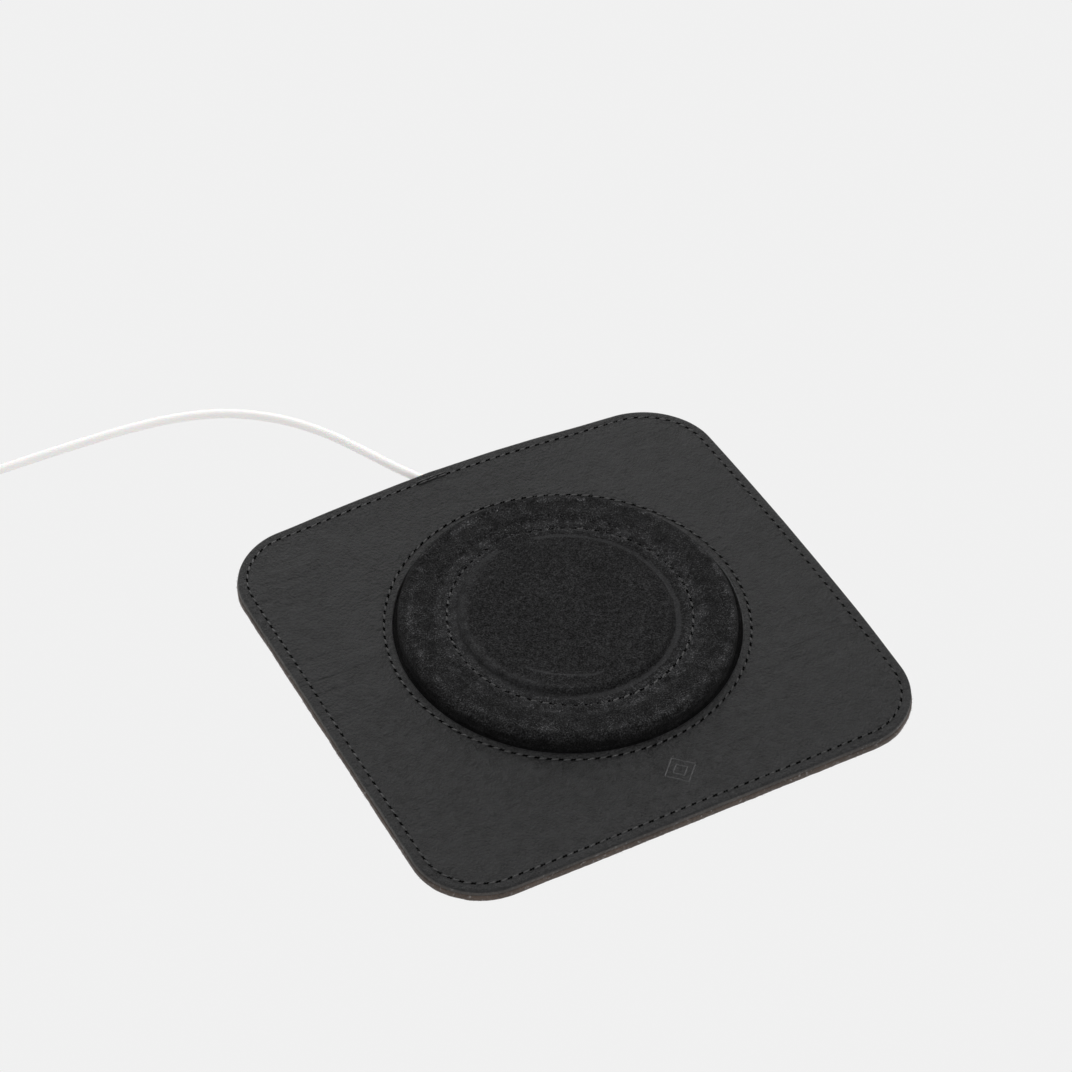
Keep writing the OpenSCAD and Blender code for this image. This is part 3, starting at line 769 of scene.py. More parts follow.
@dataclass
class Outline:
    """The mat's plan: a square with round corners, whose right and back edges bow out.

    Attributes:
        width: Overall width.
        depth: Overall depth.
        corner: Radius of the corners.
        right_bow: How far the right edge bows out.
        back_bow: How far the back edge bows out.
        centre: The point that angles are taken about.
        steps: Points along each edge and corner.
        polar: Angles and radii of each inset outline, kept once worked out.
    """

    width: float = 160.0
    depth: float = 155.0
    corner: float = 21.0
    right_bow: float = 2.5
    back_bow: float = 2.5
    centre: tuple[float, float] = (1.0, 3.5)
    steps: int = 60
    polar: dict[float, tuple[np.ndarray, np.ndarray]] = field(default_factory=dict)

    def points(self, inset: float) -> np.ndarray:
        """Returns the closed outline, set in by inset, as rows of x and y.

        Args:
            inset: Distance in from the mat's edge.

        Returns:
            One row of x and y for each point.
        """
        hx, hy = (self.width - self.right_bow) / 2, (self.depth - self.back_bow) / 2
        ix, iy, r = hx - inset, hy - inset, self.corner - inset
        middles = [(ix - r, iy - r), (r - ix, iy - r), (r - ix, r - iy), (ix - r, r - iy)]
        plain = []
        for k, (cx, cy) in enumerate(middles):
            turns = np.radians(np.linspace(90 * k, 90 * k + 90, self.steps))
            bend = np.stack([cx + r * np.cos(turns), cy + r * np.sin(turns)], 1)
            nx, ny = middles[(k + 1) % 4]
            to = np.array([nx + r * math.cos(turns[-1]), ny + r * math.sin(turns[-1])])
            along = np.linspace(0, 1, self.steps)[1:-1, None]
            plain += [bend, bend[-1] + (to - bend[-1]) * along]
        p = np.concatenate(plain)
        right = np.where(p[:, 0] > 0, self.right_bow * (1 - (p[:, 1] / hy) ** 2) * p[:, 0] / hx, 0)
        back = np.where(p[:, 1] > 0, self.back_bow * (1 - (p[:, 0] / hx) ** 2) * p[:, 1] / hy, 0)
        return p + np.stack([right - self.right_bow / 2, back - self.back_bow / 2], 1)

    def radius(self, angle: float, inset: float) -> float:
        """Returns how far the outline is from the centre, in that direction.

        Args:
            angle: Direction from the centre, in radians.
            inset: Distance in from the mat's edge.

        Returns:
            The distance.
        """
        if inset not in self.polar:
            p = self.points(inset) - np.array(self.centre)
            a, r = np.arctan2(p[:, 1], p[:, 0]), np.hypot(p[:, 0], p[:, 1])
            order = np.argsort(a)
            self.polar[inset] = a[order], r[order]
        a, r = self.polar[inset]
        return float(np.interp(angle, a, r, period=2 * math.pi))

    def at(self, angle: float, radius: float) -> tuple[float, float]:
        """Returns the point at that angle and distance from the centre."""
        return self.centre[0] + radius * math.cos(angle), self.centre[1] + radius * math.sin(angle)

    def walk(self, inset: float, count: int, fill: float) -> list[tuple[Vector, Vector]]:
        """Splits the outline into even stitches.

        Args:
            inset: Distance from the mat's edge.
            count: Number of stitches.
            fill: Share of each step that the thread covers.

        Returns:
            The two ends of each stitch.
        """
        p = self.points(inset)
        p = np.concatenate([p, p[:1]])
        s = np.concatenate([[0], np.cumsum(np.hypot(*np.diff(p, axis=0).T))])
        ends = []
        for k in range(count):
            a, b = (np.array([np.interp((k + f) * s[-1] / count, s, p[:, i]) for i in (0, 1)])
                    for f in (0.0, fill))
            ends.append((Vector((*a, 0)), Vector((*b, 0))))
        return ends


def hermite(points: list[tuple[float, float, float]], steps: int) -> list[Vector]:
    """Returns a smooth line through given points.

    Args:
        points: The points, in order.
        steps: Points made on each stretch.

    Returns:
        The line.
    """
    p = [Vector(q) for q in points]
    line = []
    for i in range(len(p) - 1):
        a, b, c, d = p[max(i - 1, 0)], p[i], p[i + 1], p[min(i + 2, len(p) - 1)]
        for k in range(steps):
            t = k / steps
            line.append(0.5 * (2 * b + (c - a) * t + (2 * a - 5 * b + 4 * c - d) * t * t
                               + (3 * b - a - 3 * c + d) * t ** 3))
    return line + [p[-1]]


# ---- The cable ----


@dataclass
class Cable:
    """The free cable, wound into a tied coil, and the strap round it.

    Attributes:
        diameter: The cable's diameter.
        free_length_m: Real length from the mat's back edge to the plug, in metres.
        exit: Where it leaves the mat.
        run: Steps from the exit to the coil.
        coil_back: From the coil's centre to the cable's way in.
        turns: Radii of the lower turns, then of the upper ones.
        low: Height of the lower layer's centreline.
        high: Height of the upper layer's centreline.
        tail: Steps from the coil's centre to the plug.
        per_turn: Points in each turn of the coil.
        layer_turns: Turns in the lower layer.
        wound: How many times the cable goes round.
    """

    diameter: float = 3.0
    free_length_m: float = 0.955
    exit: tuple[float, float, float] = (-8.0, 77.5, 2.0)
    run: tuple[tuple[float, float, float], ...] = (
        (0, 0, 2), (-2.4, 4.8, 1.7), (-5.2, 10, 1.5), (-8.5, 16.5, 1.5), (-12, 23.5, 1.5),
        (-16, 31, 1.5), (-21, 38.5, 1.5), (-27, 45.5, 1.5), (-34, 51.5, 1.5), (-42, 56.5, 1.5),
        (-51, 60, 1.5), (-61, 62.3, 1.5), (-72, 63.6, 1.5), (-84, 64.2, 1.5), (-98, 64.5, 1.5),
        (-113, 64.5, 1.5), (-128, 64.5, 1.6), (-140, 64.5, 1.9), (-147, 64.5, 2))
    coil_back: tuple[float, float] = (-157.0, 44.25)
    turns: tuple[float, ...] = (20.25, 17.25, 14.25, 11.25, 12.75, 15.75, 18.75)
    low: float = 2.0
    high: float = 4.6
    tail: tuple[tuple[float, float, float], ...] = (
        (-18.75, -10, 4.6), (-18.8, -14, 4.3), (-19, -19, 3.1), (-19.4, -25, 1.8), (-20, -31, 1.5),
        (-20.5, -37, 1.9), (-20.8, -42, 2.7), (-21, -46, 3.1))
    per_turn: int = 48
    layer_turns: int = 4
    wound: float = 7.25

    @property
    def coil_at(self) -> tuple[float, float]:
        """Middle of the coil."""
        return self.exit[0] + self.coil_back[0], self.exit[1] + self.coil_back[1]

    def coil_line(self) -> list[Vector]:
        """Returns the wound turns, anticlockwise from the back of the coil to its left side.

        Returns:
            The coil's centreline.
        """
        knots, radii, heights = [0.0], [self.turns[0]], [self.low]
        for k, r in enumerate(self.turns):
            height = self.low if k < self.layer_turns else self.high
            knots += [k + 0.12, k + 0.86] if k else [0.86]
            radii += [r, r] if k else [r]
            heights += [height, height] if k else [height]
        knots += [7.02, self.wound]
        radii += [self.turns[-1], self.turns[-1]]
        heights += [self.high, self.high]
        line = []
        for k in range(int(self.wound * self.per_turn) + 1):
            turn = k / self.per_turn
            angle = math.radians(90 + 360 * turn)
            i = max(j for j, knot in enumerate(knots) if knot <= turn or j == 0)
            nxt = min(i + 1, len(knots) - 1)
            t = smoothstep(knots[i], knots[nxt], turn) if knots[nxt] > knots[i] else 0.0
            r = radii[i] + (radii[nxt] - radii[i]) * t
            z = heights[i] + (heights[nxt] - heights[i]) * t
            line.append(Vector((self.coil_at[0] + r * math.cos(angle),
                                self.coil_at[1] + r * math.sin(angle), z)))
        return line

    def line(self) -> list[Vector]:
        """Returns the whole free cable's centreline.

        Returns:
            The centreline from the mat to the plug.
        """
        x, y, _ = self.exit
        run = hermite([(x + dx, y + dy, z) for dx, dy, z in self.run], 4)
        coil = self.coil_line()
        run = [p for p in run if p.x > coil[0].x + 6]
        cx, cy = self.coil_at
        tail = hermite([(cx + dx, cy + dy, z) for dx, dy, z in self.tail], 4)
        joined = hermite([tuple(p) for p in (run[-2], run[-1], coil[0], coil[1])], 4)[4:8]
        return run[:-1] + joined + coil + tail

    def build(self, shop: Workshop, with_pieces: list[str]) -> bpy.types.Object:
        """Args:
            shop: The workshop.
            with_pieces: The pieces that sit on the cable; not used.

        Returns:
            The cable.
        """
        curve = bpy.data.curves.new("charging_cable", "CURVE")
        curve.dimensions = "3D"
        curve.bevel_depth = self.diameter / 2 * MM
        curve.bevel_resolution = 5
        curve.use_fill_caps = True
        line = self.line()
        spline = curve.splines.new("POLY")
        spline.points.add(len(line) - 1)
        for point, p in zip(spline.points, line):
            point.co = (*(p * MM), 1)
        spline.use_smooth = True
        curve.materials.append(shop.wardrobe["cable_white"])
        obj = shop.own(bpy.data.objects.new("charging_cable", curve),
                       ["cable_run", "cable_coil", "cable_tail"])
        [c * MM for c in self.exit]
        return obj

    def build_strap(self, shop: Workshop) -> bpy.types.Object:
        """Builds the hook-and-loop strap that holds the coil.

        Args:
            shop: The workshop.

        Returns:
            The strap.
        """
        top = float(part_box("cable_tie")[1].z) / MM
        turn = math.radians(-60)
        width, thick = 6.0, 0.5
        inner, outer = 8.74, 22.45
        bm = bmesh.new()
        made = bmesh.ops.create_cube(bm, size=1.0)
        bmesh.ops.scale(bm, vec=(outer - inner, width, top), verts=made["verts"])
        bmesh.ops.translate(bm, vec=((outer + inner) / 2, 0, top / 2), verts=made["verts"])
        ends = [f for f in bm.faces if abs(f.normal.y) > 0.9]
        bmesh.ops.delete(bm, geom=ends, context="FACES_ONLY")
        corners = [e for e in bm.edges if abs((e.verts[0].co - e.verts[1].co).y) > width / 2]
        bmesh.ops.bevel(bm, geom=corners, offset=1.6, offset_type="OFFSET", segments=6,
                        profile=0.5, affect="EDGES", material=-1)
        bmesh.ops.subdivide_edges(bm, edges=[e for e in bm.edges if e.calc_length() > 4],
                                  cuts=5, use_grid_fill=True)
        bmesh.ops.recalc_face_normals(bm, faces=bm.faces)
        bmesh.ops.solidify(bm, geom=bm.faces, thickness=thick)
        bmesh.ops.rotate(bm, cent=(0, 0, 0), matrix=Matrix.Rotation(turn, 3, "Z"), verts=bm.verts)
        bmesh.ops.translate(bm, vec=(*self.coil_at, 0), verts=bm.verts)
        return shop.piece("coil_strap", bm, ["strap_black"], ["cable_tie"])


# ---- The mat ----


@dataclass
class Mat:
    """The two leather layers.

    Attributes:
        outline: The mat's plan.
        base_top: Top of the lower leather.
        top: Top of the upper leather, where it is flat.
        rise: Rise over the cable at the back edge.
        opening: Radius of the round opening.
        opening_seam: Radius of the seam round the opening.
        edge_seam: Distance of the outer seam from the edge.
        segments: Points in each ring.
        mark_at: Middle of the tooled mark.
        mark_sizes: Half diagonals of the mark's nested diamonds.
        mark_reach: How far from its middle the leather is divided finely for the mark.
        back_y: The back edge.
        channel: The cable's line from the charger to the back edge.
        cable_z: Height of the cable's centreline at the back edge.
        channel_r: Radius of the channel in the lower leather.
        arch_r: Radius of the arch in the upper leather.
        core: Radius of the lower leather's last ring, inside which it is flat.
    """

    outline: Outline
    base_top: float = 2.2
    top: float = 4.0
    rise: float = 2.0
    opening: float = 51.2
    opening_seam: float = 53.7
    edge_seam: float = 3.2
    segments: int = 720
    mark_at: tuple[float, float] = (1.5, -61.5)
    back_y: float = 77.5
    channel: tuple[tuple[float, float, float], ...] = (
        (1, 39.5, 4.9), (1, 43, 4.5), (0.7, 46.5, 3.2), (0.1, 50, 2.15), (-0.8, 54, 2), (-2.2, 60, 2),
        (-4, 66.5, 2), (-6, 73, 2), (-8, 77.5, 2), (-9.8, 81.1, 2))
    cable_z: float = 2.0
    channel_r: float = 1.8
    arch_r: float = 1.75
    core: float = 34.0
    mark_sizes: tuple[float, float] = (4.9, 2.3)
    mark_reach: float = 7.5

    def __post_init__(self) -> None:
        """Lays out the cable's line inside the mat."""
        self.way = np.array([p.xy for p in hermite(list(self.channel), 8)])

    def ridge(self, x: float, y: float) -> float:
        """Returns the rise of the upper leather over the cable.

        Args:
            x: Place across the mat, in millimetres.
            y: Place from front to back.

        Returns:
            The rise.
        """
        start = self.outline.centre[1] + self.opening_seam + 0.6
        lift = (y - start) / (self.back_y - start) - ((x + 4) / 52) ** 2
        return self.rise * 0.5 * (lift + math.sqrt(lift * lift + 0.04)) * smoothstep(40, 62, y)

    def off_cable(self, x: float, y: float) -> float:
        """Returns the distance in plan from the cable inside the mat."""
        return float(np.sqrt(((self.way - (x, y)) ** 2).sum(1).min()))

    def room(self, x: float, y: float, radius: float) -> float:
        """Returns how far a tube of that radius round the cable reaches over its line, or 0 off it."""
        return math.sqrt(max(0.0, radius ** 2 - self.off_cable(x, y) ** 2))

    def face(self, x: float, y: float) -> float:
        """Returns the height of the upper leather's face.

        Args:
            x: Place across the mat, in millimetres.
            y: Place from front to back.

        Returns:
            The height.
        """
        height = self.top + self.ridge(x, y)
        height += 0.35 * ripple(x, y, 34, 1.3) + 0.09 * ripple(x, y, 11, 4.1)
        height += 0.5 * bell(y - 61 - 0.06 * x, 8) * smoothstep(8, -16, x)
        if y > 50:
            height += 0.25 * bell(self.off_cable(x, y), 3.2) * smoothstep(54, 62, y)
        return height

    def mark(self, x: float, y: float) -> float:
        """Returns how far the tooled mark is pressed in: two nested diamonds."""
        d = self.off_mark(x, y)
        return max(bell(d - size, 0.3) for size in self.mark_sizes)

    def off_mark(self, x: float, y: float) -> float:
        """Returns the distance from the mark's middle, counted along x and y."""
        return abs(x - self.mark_at[0]) + abs(y - self.mark_at[1])

    def by_mark(self, v: bmesh.types.BMVert) -> bool:
        """Returns whether a point is on the face beside the mark."""
        return self.off_mark(v.co.x, v.co.y) < self.mark_reach and v.co.z > self.top - 0.4

    def base_radius(self, angle: float, inset: float) -> float:
        """Returns the lower leather's uneven raw edge.

        Args:
            angle: Direction from the centre, in radians.
            inset: Distance in from the mat's edge.

        Returns:
            The distance from the centre.
        """
        x, y = self.outline.at(angle, 78)
        rough = 0.10 * ripple(x, y, 1.1, 7.7) + 0.14 * ripple(x, y, 5.0, 2.2)
        return self.outline.radius(angle, inset) + (rough if inset < 0.5 else 0.0)

    def build_base(self, shop: Workshop) -> bpy.types.Object:
        """Builds the lower leather, with its raw edge and the cable's channel.

        Args:
            shop: The workshop.

        Returns:
            The lower leather.
        """
        o = self.outline
        loft = Loft(self.segments, o.centre, self.core, 0.12, capped=True)

        def flat(inset: float, z: float) -> Place:
            """Returns the placing of a ring at an inset from the edge."""
            return lambda a: (*o.at(a, self.base_radius(a, inset)), z)

        def carved(radius: Callable[[float], float], z: float) -> Place:
            """Returns the placing of a ring that dips into the cable's channel.

            Args:
                radius: Gives the ring's radius at an angle.
                z: The ring's height beside the channel.

            Returns:
                The placing.
            """
            def place(a: float) -> tuple[float, float, float]:
                """Returns the point at an angle."""
                x, y = o.at(a, radius(a))
                room = self.room(x, y, self.channel_r)
                dip = self.cable_z - room if room > 0 else z
                return x, y, min(z, max(0.35, dip))
            return place

        groove = [(8.0, 0.12), (4.2, 0.08), (3.7, 0.2), (3.2, 0.42), (2.7, 0.2), (2.2, 0.06),
                  (1.0, 0.0)]
        for inset, z in groove:
            loft.step(flat(inset, z))
        rim = self.base_top
        side = [(0.35, 0.02), (0.12, 0.22), (0.0, 0.55), (0.0, 1.0), (0.0, 1.4), (0.04, 1.8),
                (0.14, rim - 0.12), (0.3, rim - 0.02)]
        for inset, z in side:
            loft.step(carved(lambda a, i=inset: self.base_radius(a, i), z), 1)
        for inset in (1.5, 3.2, 5, 7, 9, 12, 15):
            loft.step(carved(lambda a, i=inset: o.radius(a, i), rim - 0.02))
        for radius in (56.0, 52.0, 49.0, 46.0, 43.0, 40.0, 37.0, self.core):
            loft.step(carved(lambda a, r=radius: r, rim - 0.02))
        loft.cap()
        return shop.piece("leather_base", loft.close(), ["leather_raw", "leather_raw"],
                          ["base_panel"])

    def build_top(self, shop: Workshop) -> bpy.types.Object:
        """Builds the upper leather, with its opening, pressed seams, ridge, tooled mark and a highlight painted
        on the opening's rim.

        Args:
            shop: The workshop.

        Returns:
            The upper leather.
        """
        o = self.outline
        loft = Loft(self.segments, o.centre, self.opening, self.base_top + 0.85)

        def on_face(radius: Callable[[float], float], drop: float) -> Place:
            """Returns the placing of a ring a little below the leather's face.

            Args:
                radius: Gives the ring's radius at an angle.
                drop: How far the ring is below the face.

            Returns:
                The placing.
            """
            def place(a: float) -> tuple[float, float, float]:
                """Returns the point at an angle."""
                x, y = o.at(a, radius(a))
                return x, y, self.face(x, y) - drop
            return place

        def under(radius: Callable[[float], float], z: float) -> Place:
            """Returns the placing of a ring on the underside, arched over the cable.

            Args:
                radius: Gives the ring's radius at an angle.
                z: The ring's height beside the cable.

            Returns:
                The placing.
            """
            def place(a: float) -> tuple[float, float, float]:
                """Returns the point at an angle."""
                x, y = o.at(a, radius(a))
                room = self.room(x, y, self.arch_r)
                return x, y, max(z, self.cable_z + room if room > 0 else z)
            return place

        # The rounded top of the opening's edge takes the tooled finish, a lighter line painted as its highlight.
        cut = [(0.0, 0.85), (0.0, 0.5), (0.03, 0.3), (0.12, 0.18), (0.28, 0.11)]
        for out, drop in cut:
            loft.step(on_face(lambda a, r=self.opening + out: r, drop), 1 if drop > 0.4 else 2)
        seam = self.opening_seam
        pressed = [(0.6, 0.07), (1.0, 0.06), (1.5, 0.06), (1.9, 0.1), (2.2, 0.17), (2.5, 0.2),
                   (2.8, 0.17), (3.1, 0.09), (3.5, 0.03), (4.4, 0.0), (5.6, 0.0), (7.2, 0.0)]
        for out, drop in pressed:
            loft.step(on_face(lambda a, r=seam - 2.5 + out: r, drop))
        inner = seam + 4.7
        steps = 26
        for k in range(1, steps):
            t = k / steps
            loft.step(on_face(lambda a, t=t: inner + (o.radius(a, 6.2) - inner) * t, 0.0))
        rows = [(6.2, 0.0), (5.4, 0.0), (4.6, 0.0), (4.0, 0.02), (3.7, 0.05), (3.4, 0.09),
                (3.2, 0.1), (3.0, 0.09), (2.7, 0.05), (2.4, 0.02), (1.9, 0.0), (1.4, 0.02),
                (0.95, 0.06), (0.65, 0.14), (0.45, 0.3), (0.34, 0.6)]
        for inset, drop in rows:
            loft.step(on_face(lambda a, i=inset: o.radius(a, i), drop))
        for share in (0.5, 0.85):
            loft.step(lambda a, s=share: self.edge_place(a, s), 1)
        low = self.base_top + 0.04
        loft.step(under(lambda a: o.radius(a, 0.3), low), 1)
        for inset in (3.2, 8.0, 12.0, 16.0):
            loft.step(under(lambda a, i=inset: o.radius(a, i), low))
        loft.step(under(lambda a: 57.5, low))
        loft.step(under(lambda a: 57.3, self.base_top + 0.85))
        loft.join_ends()
        self.press_mark(loft.bm)
        return shop.piece("leather_top", loft.close(),
                          ["leather_black", "leather_cut", "leather_tooled_and_rim_highlight"], ["top_panel"])

    def press_mark(self, bm: bmesh.types.BMesh) -> None:
        """Presses the tooled mark into the upper leather and gives it its finish.

        Args:
            bm: The upper leather's mesh.
        """
        tooled = [e for e in bm.edges if all(self.by_mark(v) for v in e.verts)]
        bmesh.ops.subdivide_edges(bm, edges=tooled, cuts=3, use_grid_fill=True)
        near = [v for v in bm.verts if self.by_mark(v)]
        for v in near:
            v.co.z -= 0.18 * self.mark(v.co.x, v.co.y)
        for face in {f for v in near for f in v.link_faces}:
            middle = face.calc_center_median()
            if self.mark(middle.x, middle.y) > 0.45:
                face.material_index = 2

    def edge_place(self, angle: float, share: float) -> tuple[float, float, float]:
        """Returns a point on the upper leather's cut edge, share of the way down.

        Args:
            angle: Direction from the centre, in radians.
            share: 0 at the top of the edge and 1 at its foot.

        Returns:
            The point.
        """
        x, y = self.outline.at(angle, self.outline.radius(angle, 0.3))
        room = self.room(x, y, self.arch_r)
        low = max(self.base_top, self.cable_z + room if room > 0 else 0.0)
        high = self.face(x, y) - 0.6
        return x, y, high + (low - high) * share


# ---- The suede pad ----


@dataclass
class SuedePad:
    """The suede cover over the charger and its padded ring.

    Attributes:
        centre: Middle of the pad.
        disc_top: Height of the middle disc.
        groove_top: Height of the sewn groove.
        ring_top: Height of the padded ring.
        wall: Outer radius of the wall.
        seam: Radius of the pocket seam.
        bend: Radius of the bend from the ring to the wall.
        flange: Outer radius of the flange under the leather.
        bridge_top: Height of the suede where it spans the groove over the cable.
        turns: Steps of the spin.
    """

    centre: tuple[float, float] = (1.0, 3.5)
    disc_top: float = 8.9
    groove_top: float = 7.1
    ring_top: float = 8.2
    wall: float = 49.8
    seam: float = 36.0
    bend: float = 2.6
    flange: float = 56.8
    bridge_top: float = 7.95
    turns: int = 420

    def section(self) -> list[tuple[float, float]]:
        """Returns the upper surface's radii and heights, from the middle to the flange.

        Returns:
            The radii and heights, in order.
        """
        low = self.groove_top
        line = [(r, self.disc_top + 0.05 * (1 - (r / 24) ** 2)) for r in np.arange(0, 24.1, 1.0)]
        slopes = ((24.0, self.disc_top, 30.7, self.disc_top - 0.1),
                  (30.7, self.disc_top - 0.1, 32.3, low), (32.3, low, 38.4, low),
                  (38.4, low, 41.6, self.ring_top), (41.6, self.ring_top, 46.4, self.ring_top + 0.02))
        for r0, z0, r1, z1 in slopes:
            count = max(5, int((r1 - r0) / 0.34))
            for k in range(1, count + 1):
                t = k / count
                line.append((r0 + (r1 - r0) * t, z0 + (z1 - z0) * smoothstep(0, 1, t)))
        wall, bend = self.wall, self.bend
        for k in range(1, 13):
            a = math.radians(90 * k / 12)
            line.append((wall - bend + bend * math.sin(a), self.ring_top - bend + bend * math.cos(a)))
        return line + [(wall - 0.05, 4.2), (wall - 0.1, 3.5), (wall + 0.25, 3.05), (wall + 0.6, 3.0),
                       (wall + 1.2, 2.98), (wall + 2.4, 2.98), (self.flange, 2.98)]

    def relief(self, x: float, y: float) -> float:
        """Returns the lift of the suede's upper face: swells, gathers and rubbed creases.

        Args:
            x: Place across the mat, in millimetres.
            y: Place from front to back.

        Returns:
            The lift along the surface's normal.
        """
        dx, dy = x - self.centre[0], y - self.centre[1]
        r, a = math.hypot(dx, dy), math.atan2(dy, dx)
        lift = 0.07 * ripple(x, y, 9, 0.4) + 0.05 * ripple(x, y, 2.6, 5.2)
        lift += 0.05 * ripple(x, y, 1.1, 8.8)
        seam = self.seam_radius(a)
        groove = smoothstep(31.5, 33, r) * (1 - smoothstep(40, 43.5, r))
        left = 0.4 + 0.6 * smoothstep(-0.2, 1.0, -dx / 40)
        gather = (noise.noise(Vector((a * 26, r * 0.22, 3.0)))
                  + 0.6 * noise.noise(Vector((a * 60, r * 0.5, 6.0))))
        lift += groove * left * 0.32 * gather
        lift -= 0.4 * bell(r - seam, 0.6) * (0.7 + 0.3 * math.cos(a * seam * 2 * math.pi / 3.4))
        lift += 0.12 * bell(r - seam + 1.3, 0.6) + 0.16 * bell(r - seam - 1.4, 0.7)
        lift -= 0.7 * bell(r - 31.6, 0.9) * math.cos(a)
        lift += 0.6 * bell(r - 48.6, 1.7) * smoothstep(0.3, 0.95, math.sin(a))
        front = smoothstep(0.1, 0.8, -dy / 50)
        lip = bell(r - 47.3, 1.0)
        lift += lip * front * 0.22 * noise.noise(Vector((a * 34, r * 0.9, 1.0)))
        arc = bell(r - 26.2, 0.5) * smoothstep(0.84, 0.95, math.cos(a - math.radians(-122)))
        lift += 0.16 * arc * (0.6 + 0.4 * ripple(x, y, 2.5, 9.0))
        return lift

    def seam_radius(self, angle: float) -> float:
        """Returns the radius of the pocket seam, which wanders a little to the right."""
        return self.seam + 0.7 * math.cos(angle)

    def bridge(self, x: float, y: float, z: float) -> float:
        """Returns the height over the cable's way in, where the suede spans the groove.

        Args:
            x: Place across the mat, in millimetres.
            y: Place from front to back.
            z: Height of the plain section there.

        Returns:
            The height.
        """
        dx, dy = x - self.centre[0], y - self.centre[1]
        r = math.hypot(dx, dy)
        across = 1 - smoothstep(2.6, 6.4, abs(dx + 0.3))
        along = smoothstep(28.5, 33, r) * (1 - smoothstep(40.5, 44, r))
        if dy <= 0 or across * along == 0:
            return z
        return z + (max(z, self.bridge_top) - z) * across * along

    def cover_cable(self, flange: list[bmesh.types.BMVert], mat: Mat) -> None:
        """Arches the flange over the cable.

        Args:
            flange: The flange's upper points.
            mat: The mat, for the cable's line.
        """
        for v in flange:
            room = mat.room(v.co.x, v.co.y, mat.channel_r)
            if room > 0:
                v.co.z = max(v.co.z, mat.cable_z + room)

    def build(self, shop: Workshop, mat: Mat) -> bpy.types.Object:
        """Spins the cover and works its surface.

        Args:
            shop: The workshop.
            mat: The mat, for the cable's line.

        Returns:
            The cover.
        """
        upper = self.section()
        lower = [(self.flange, 2.3), (48.9, 2.3), (48.9, 3.4), (48.6, 5.2), (47.6, 6.6),
                 (46.4, 6.95), (42.6, 6.95), (39.6, 5.95), (31.8, 5.95), (29.0, 7.2), (28.2, 7.66),
                 (0.0, 7.7)]
        bm = bmesh.new()
        points = [bm.verts.new((r, 0, z)) for r, z in upper + lower]
        edges = [bm.edges.new(pair) for pair in zip(points, points[1:])]
        bmesh.ops.spin(bm, geom=points + edges, cent=(0, 0, 0), axis=(0, 0, 1), angle=2 * math.pi,
                       steps=self.turns, use_merge=True)
        bmesh.ops.remove_doubles(bm, verts=bm.verts, dist=0.0005)
        bmesh.ops.translate(bm, vec=(*self.centre, 0), verts=bm.verts)
        bmesh.ops.recalc_face_normals(bm, faces=bm.faces)
        bm.normal_update()
        worked = [v for v in bm.verts if v.normal.z > -0.05
                  and math.hypot(v.co.x - self.centre[0], v.co.y - self.centre[1]) < self.wall + 0.02
                  and v.co.z > 5.6]
        moves = [(v, v.normal.copy()) for v in worked]
        for v, normal in moves:
            v.co.z = self.bridge(v.co.x, v.co.y, v.co.z)
            v.co += normal * self.relief(v.co.x, v.co.y)
        self.cover_cable([v for v in bm.verts if 2.9 < v.co.z < 3.6 and v.co.y > 40], mat)
        return shop.piece("suede_pad", bm, ["suede_black"], ["suede_cover"])


# ---- Thread ----


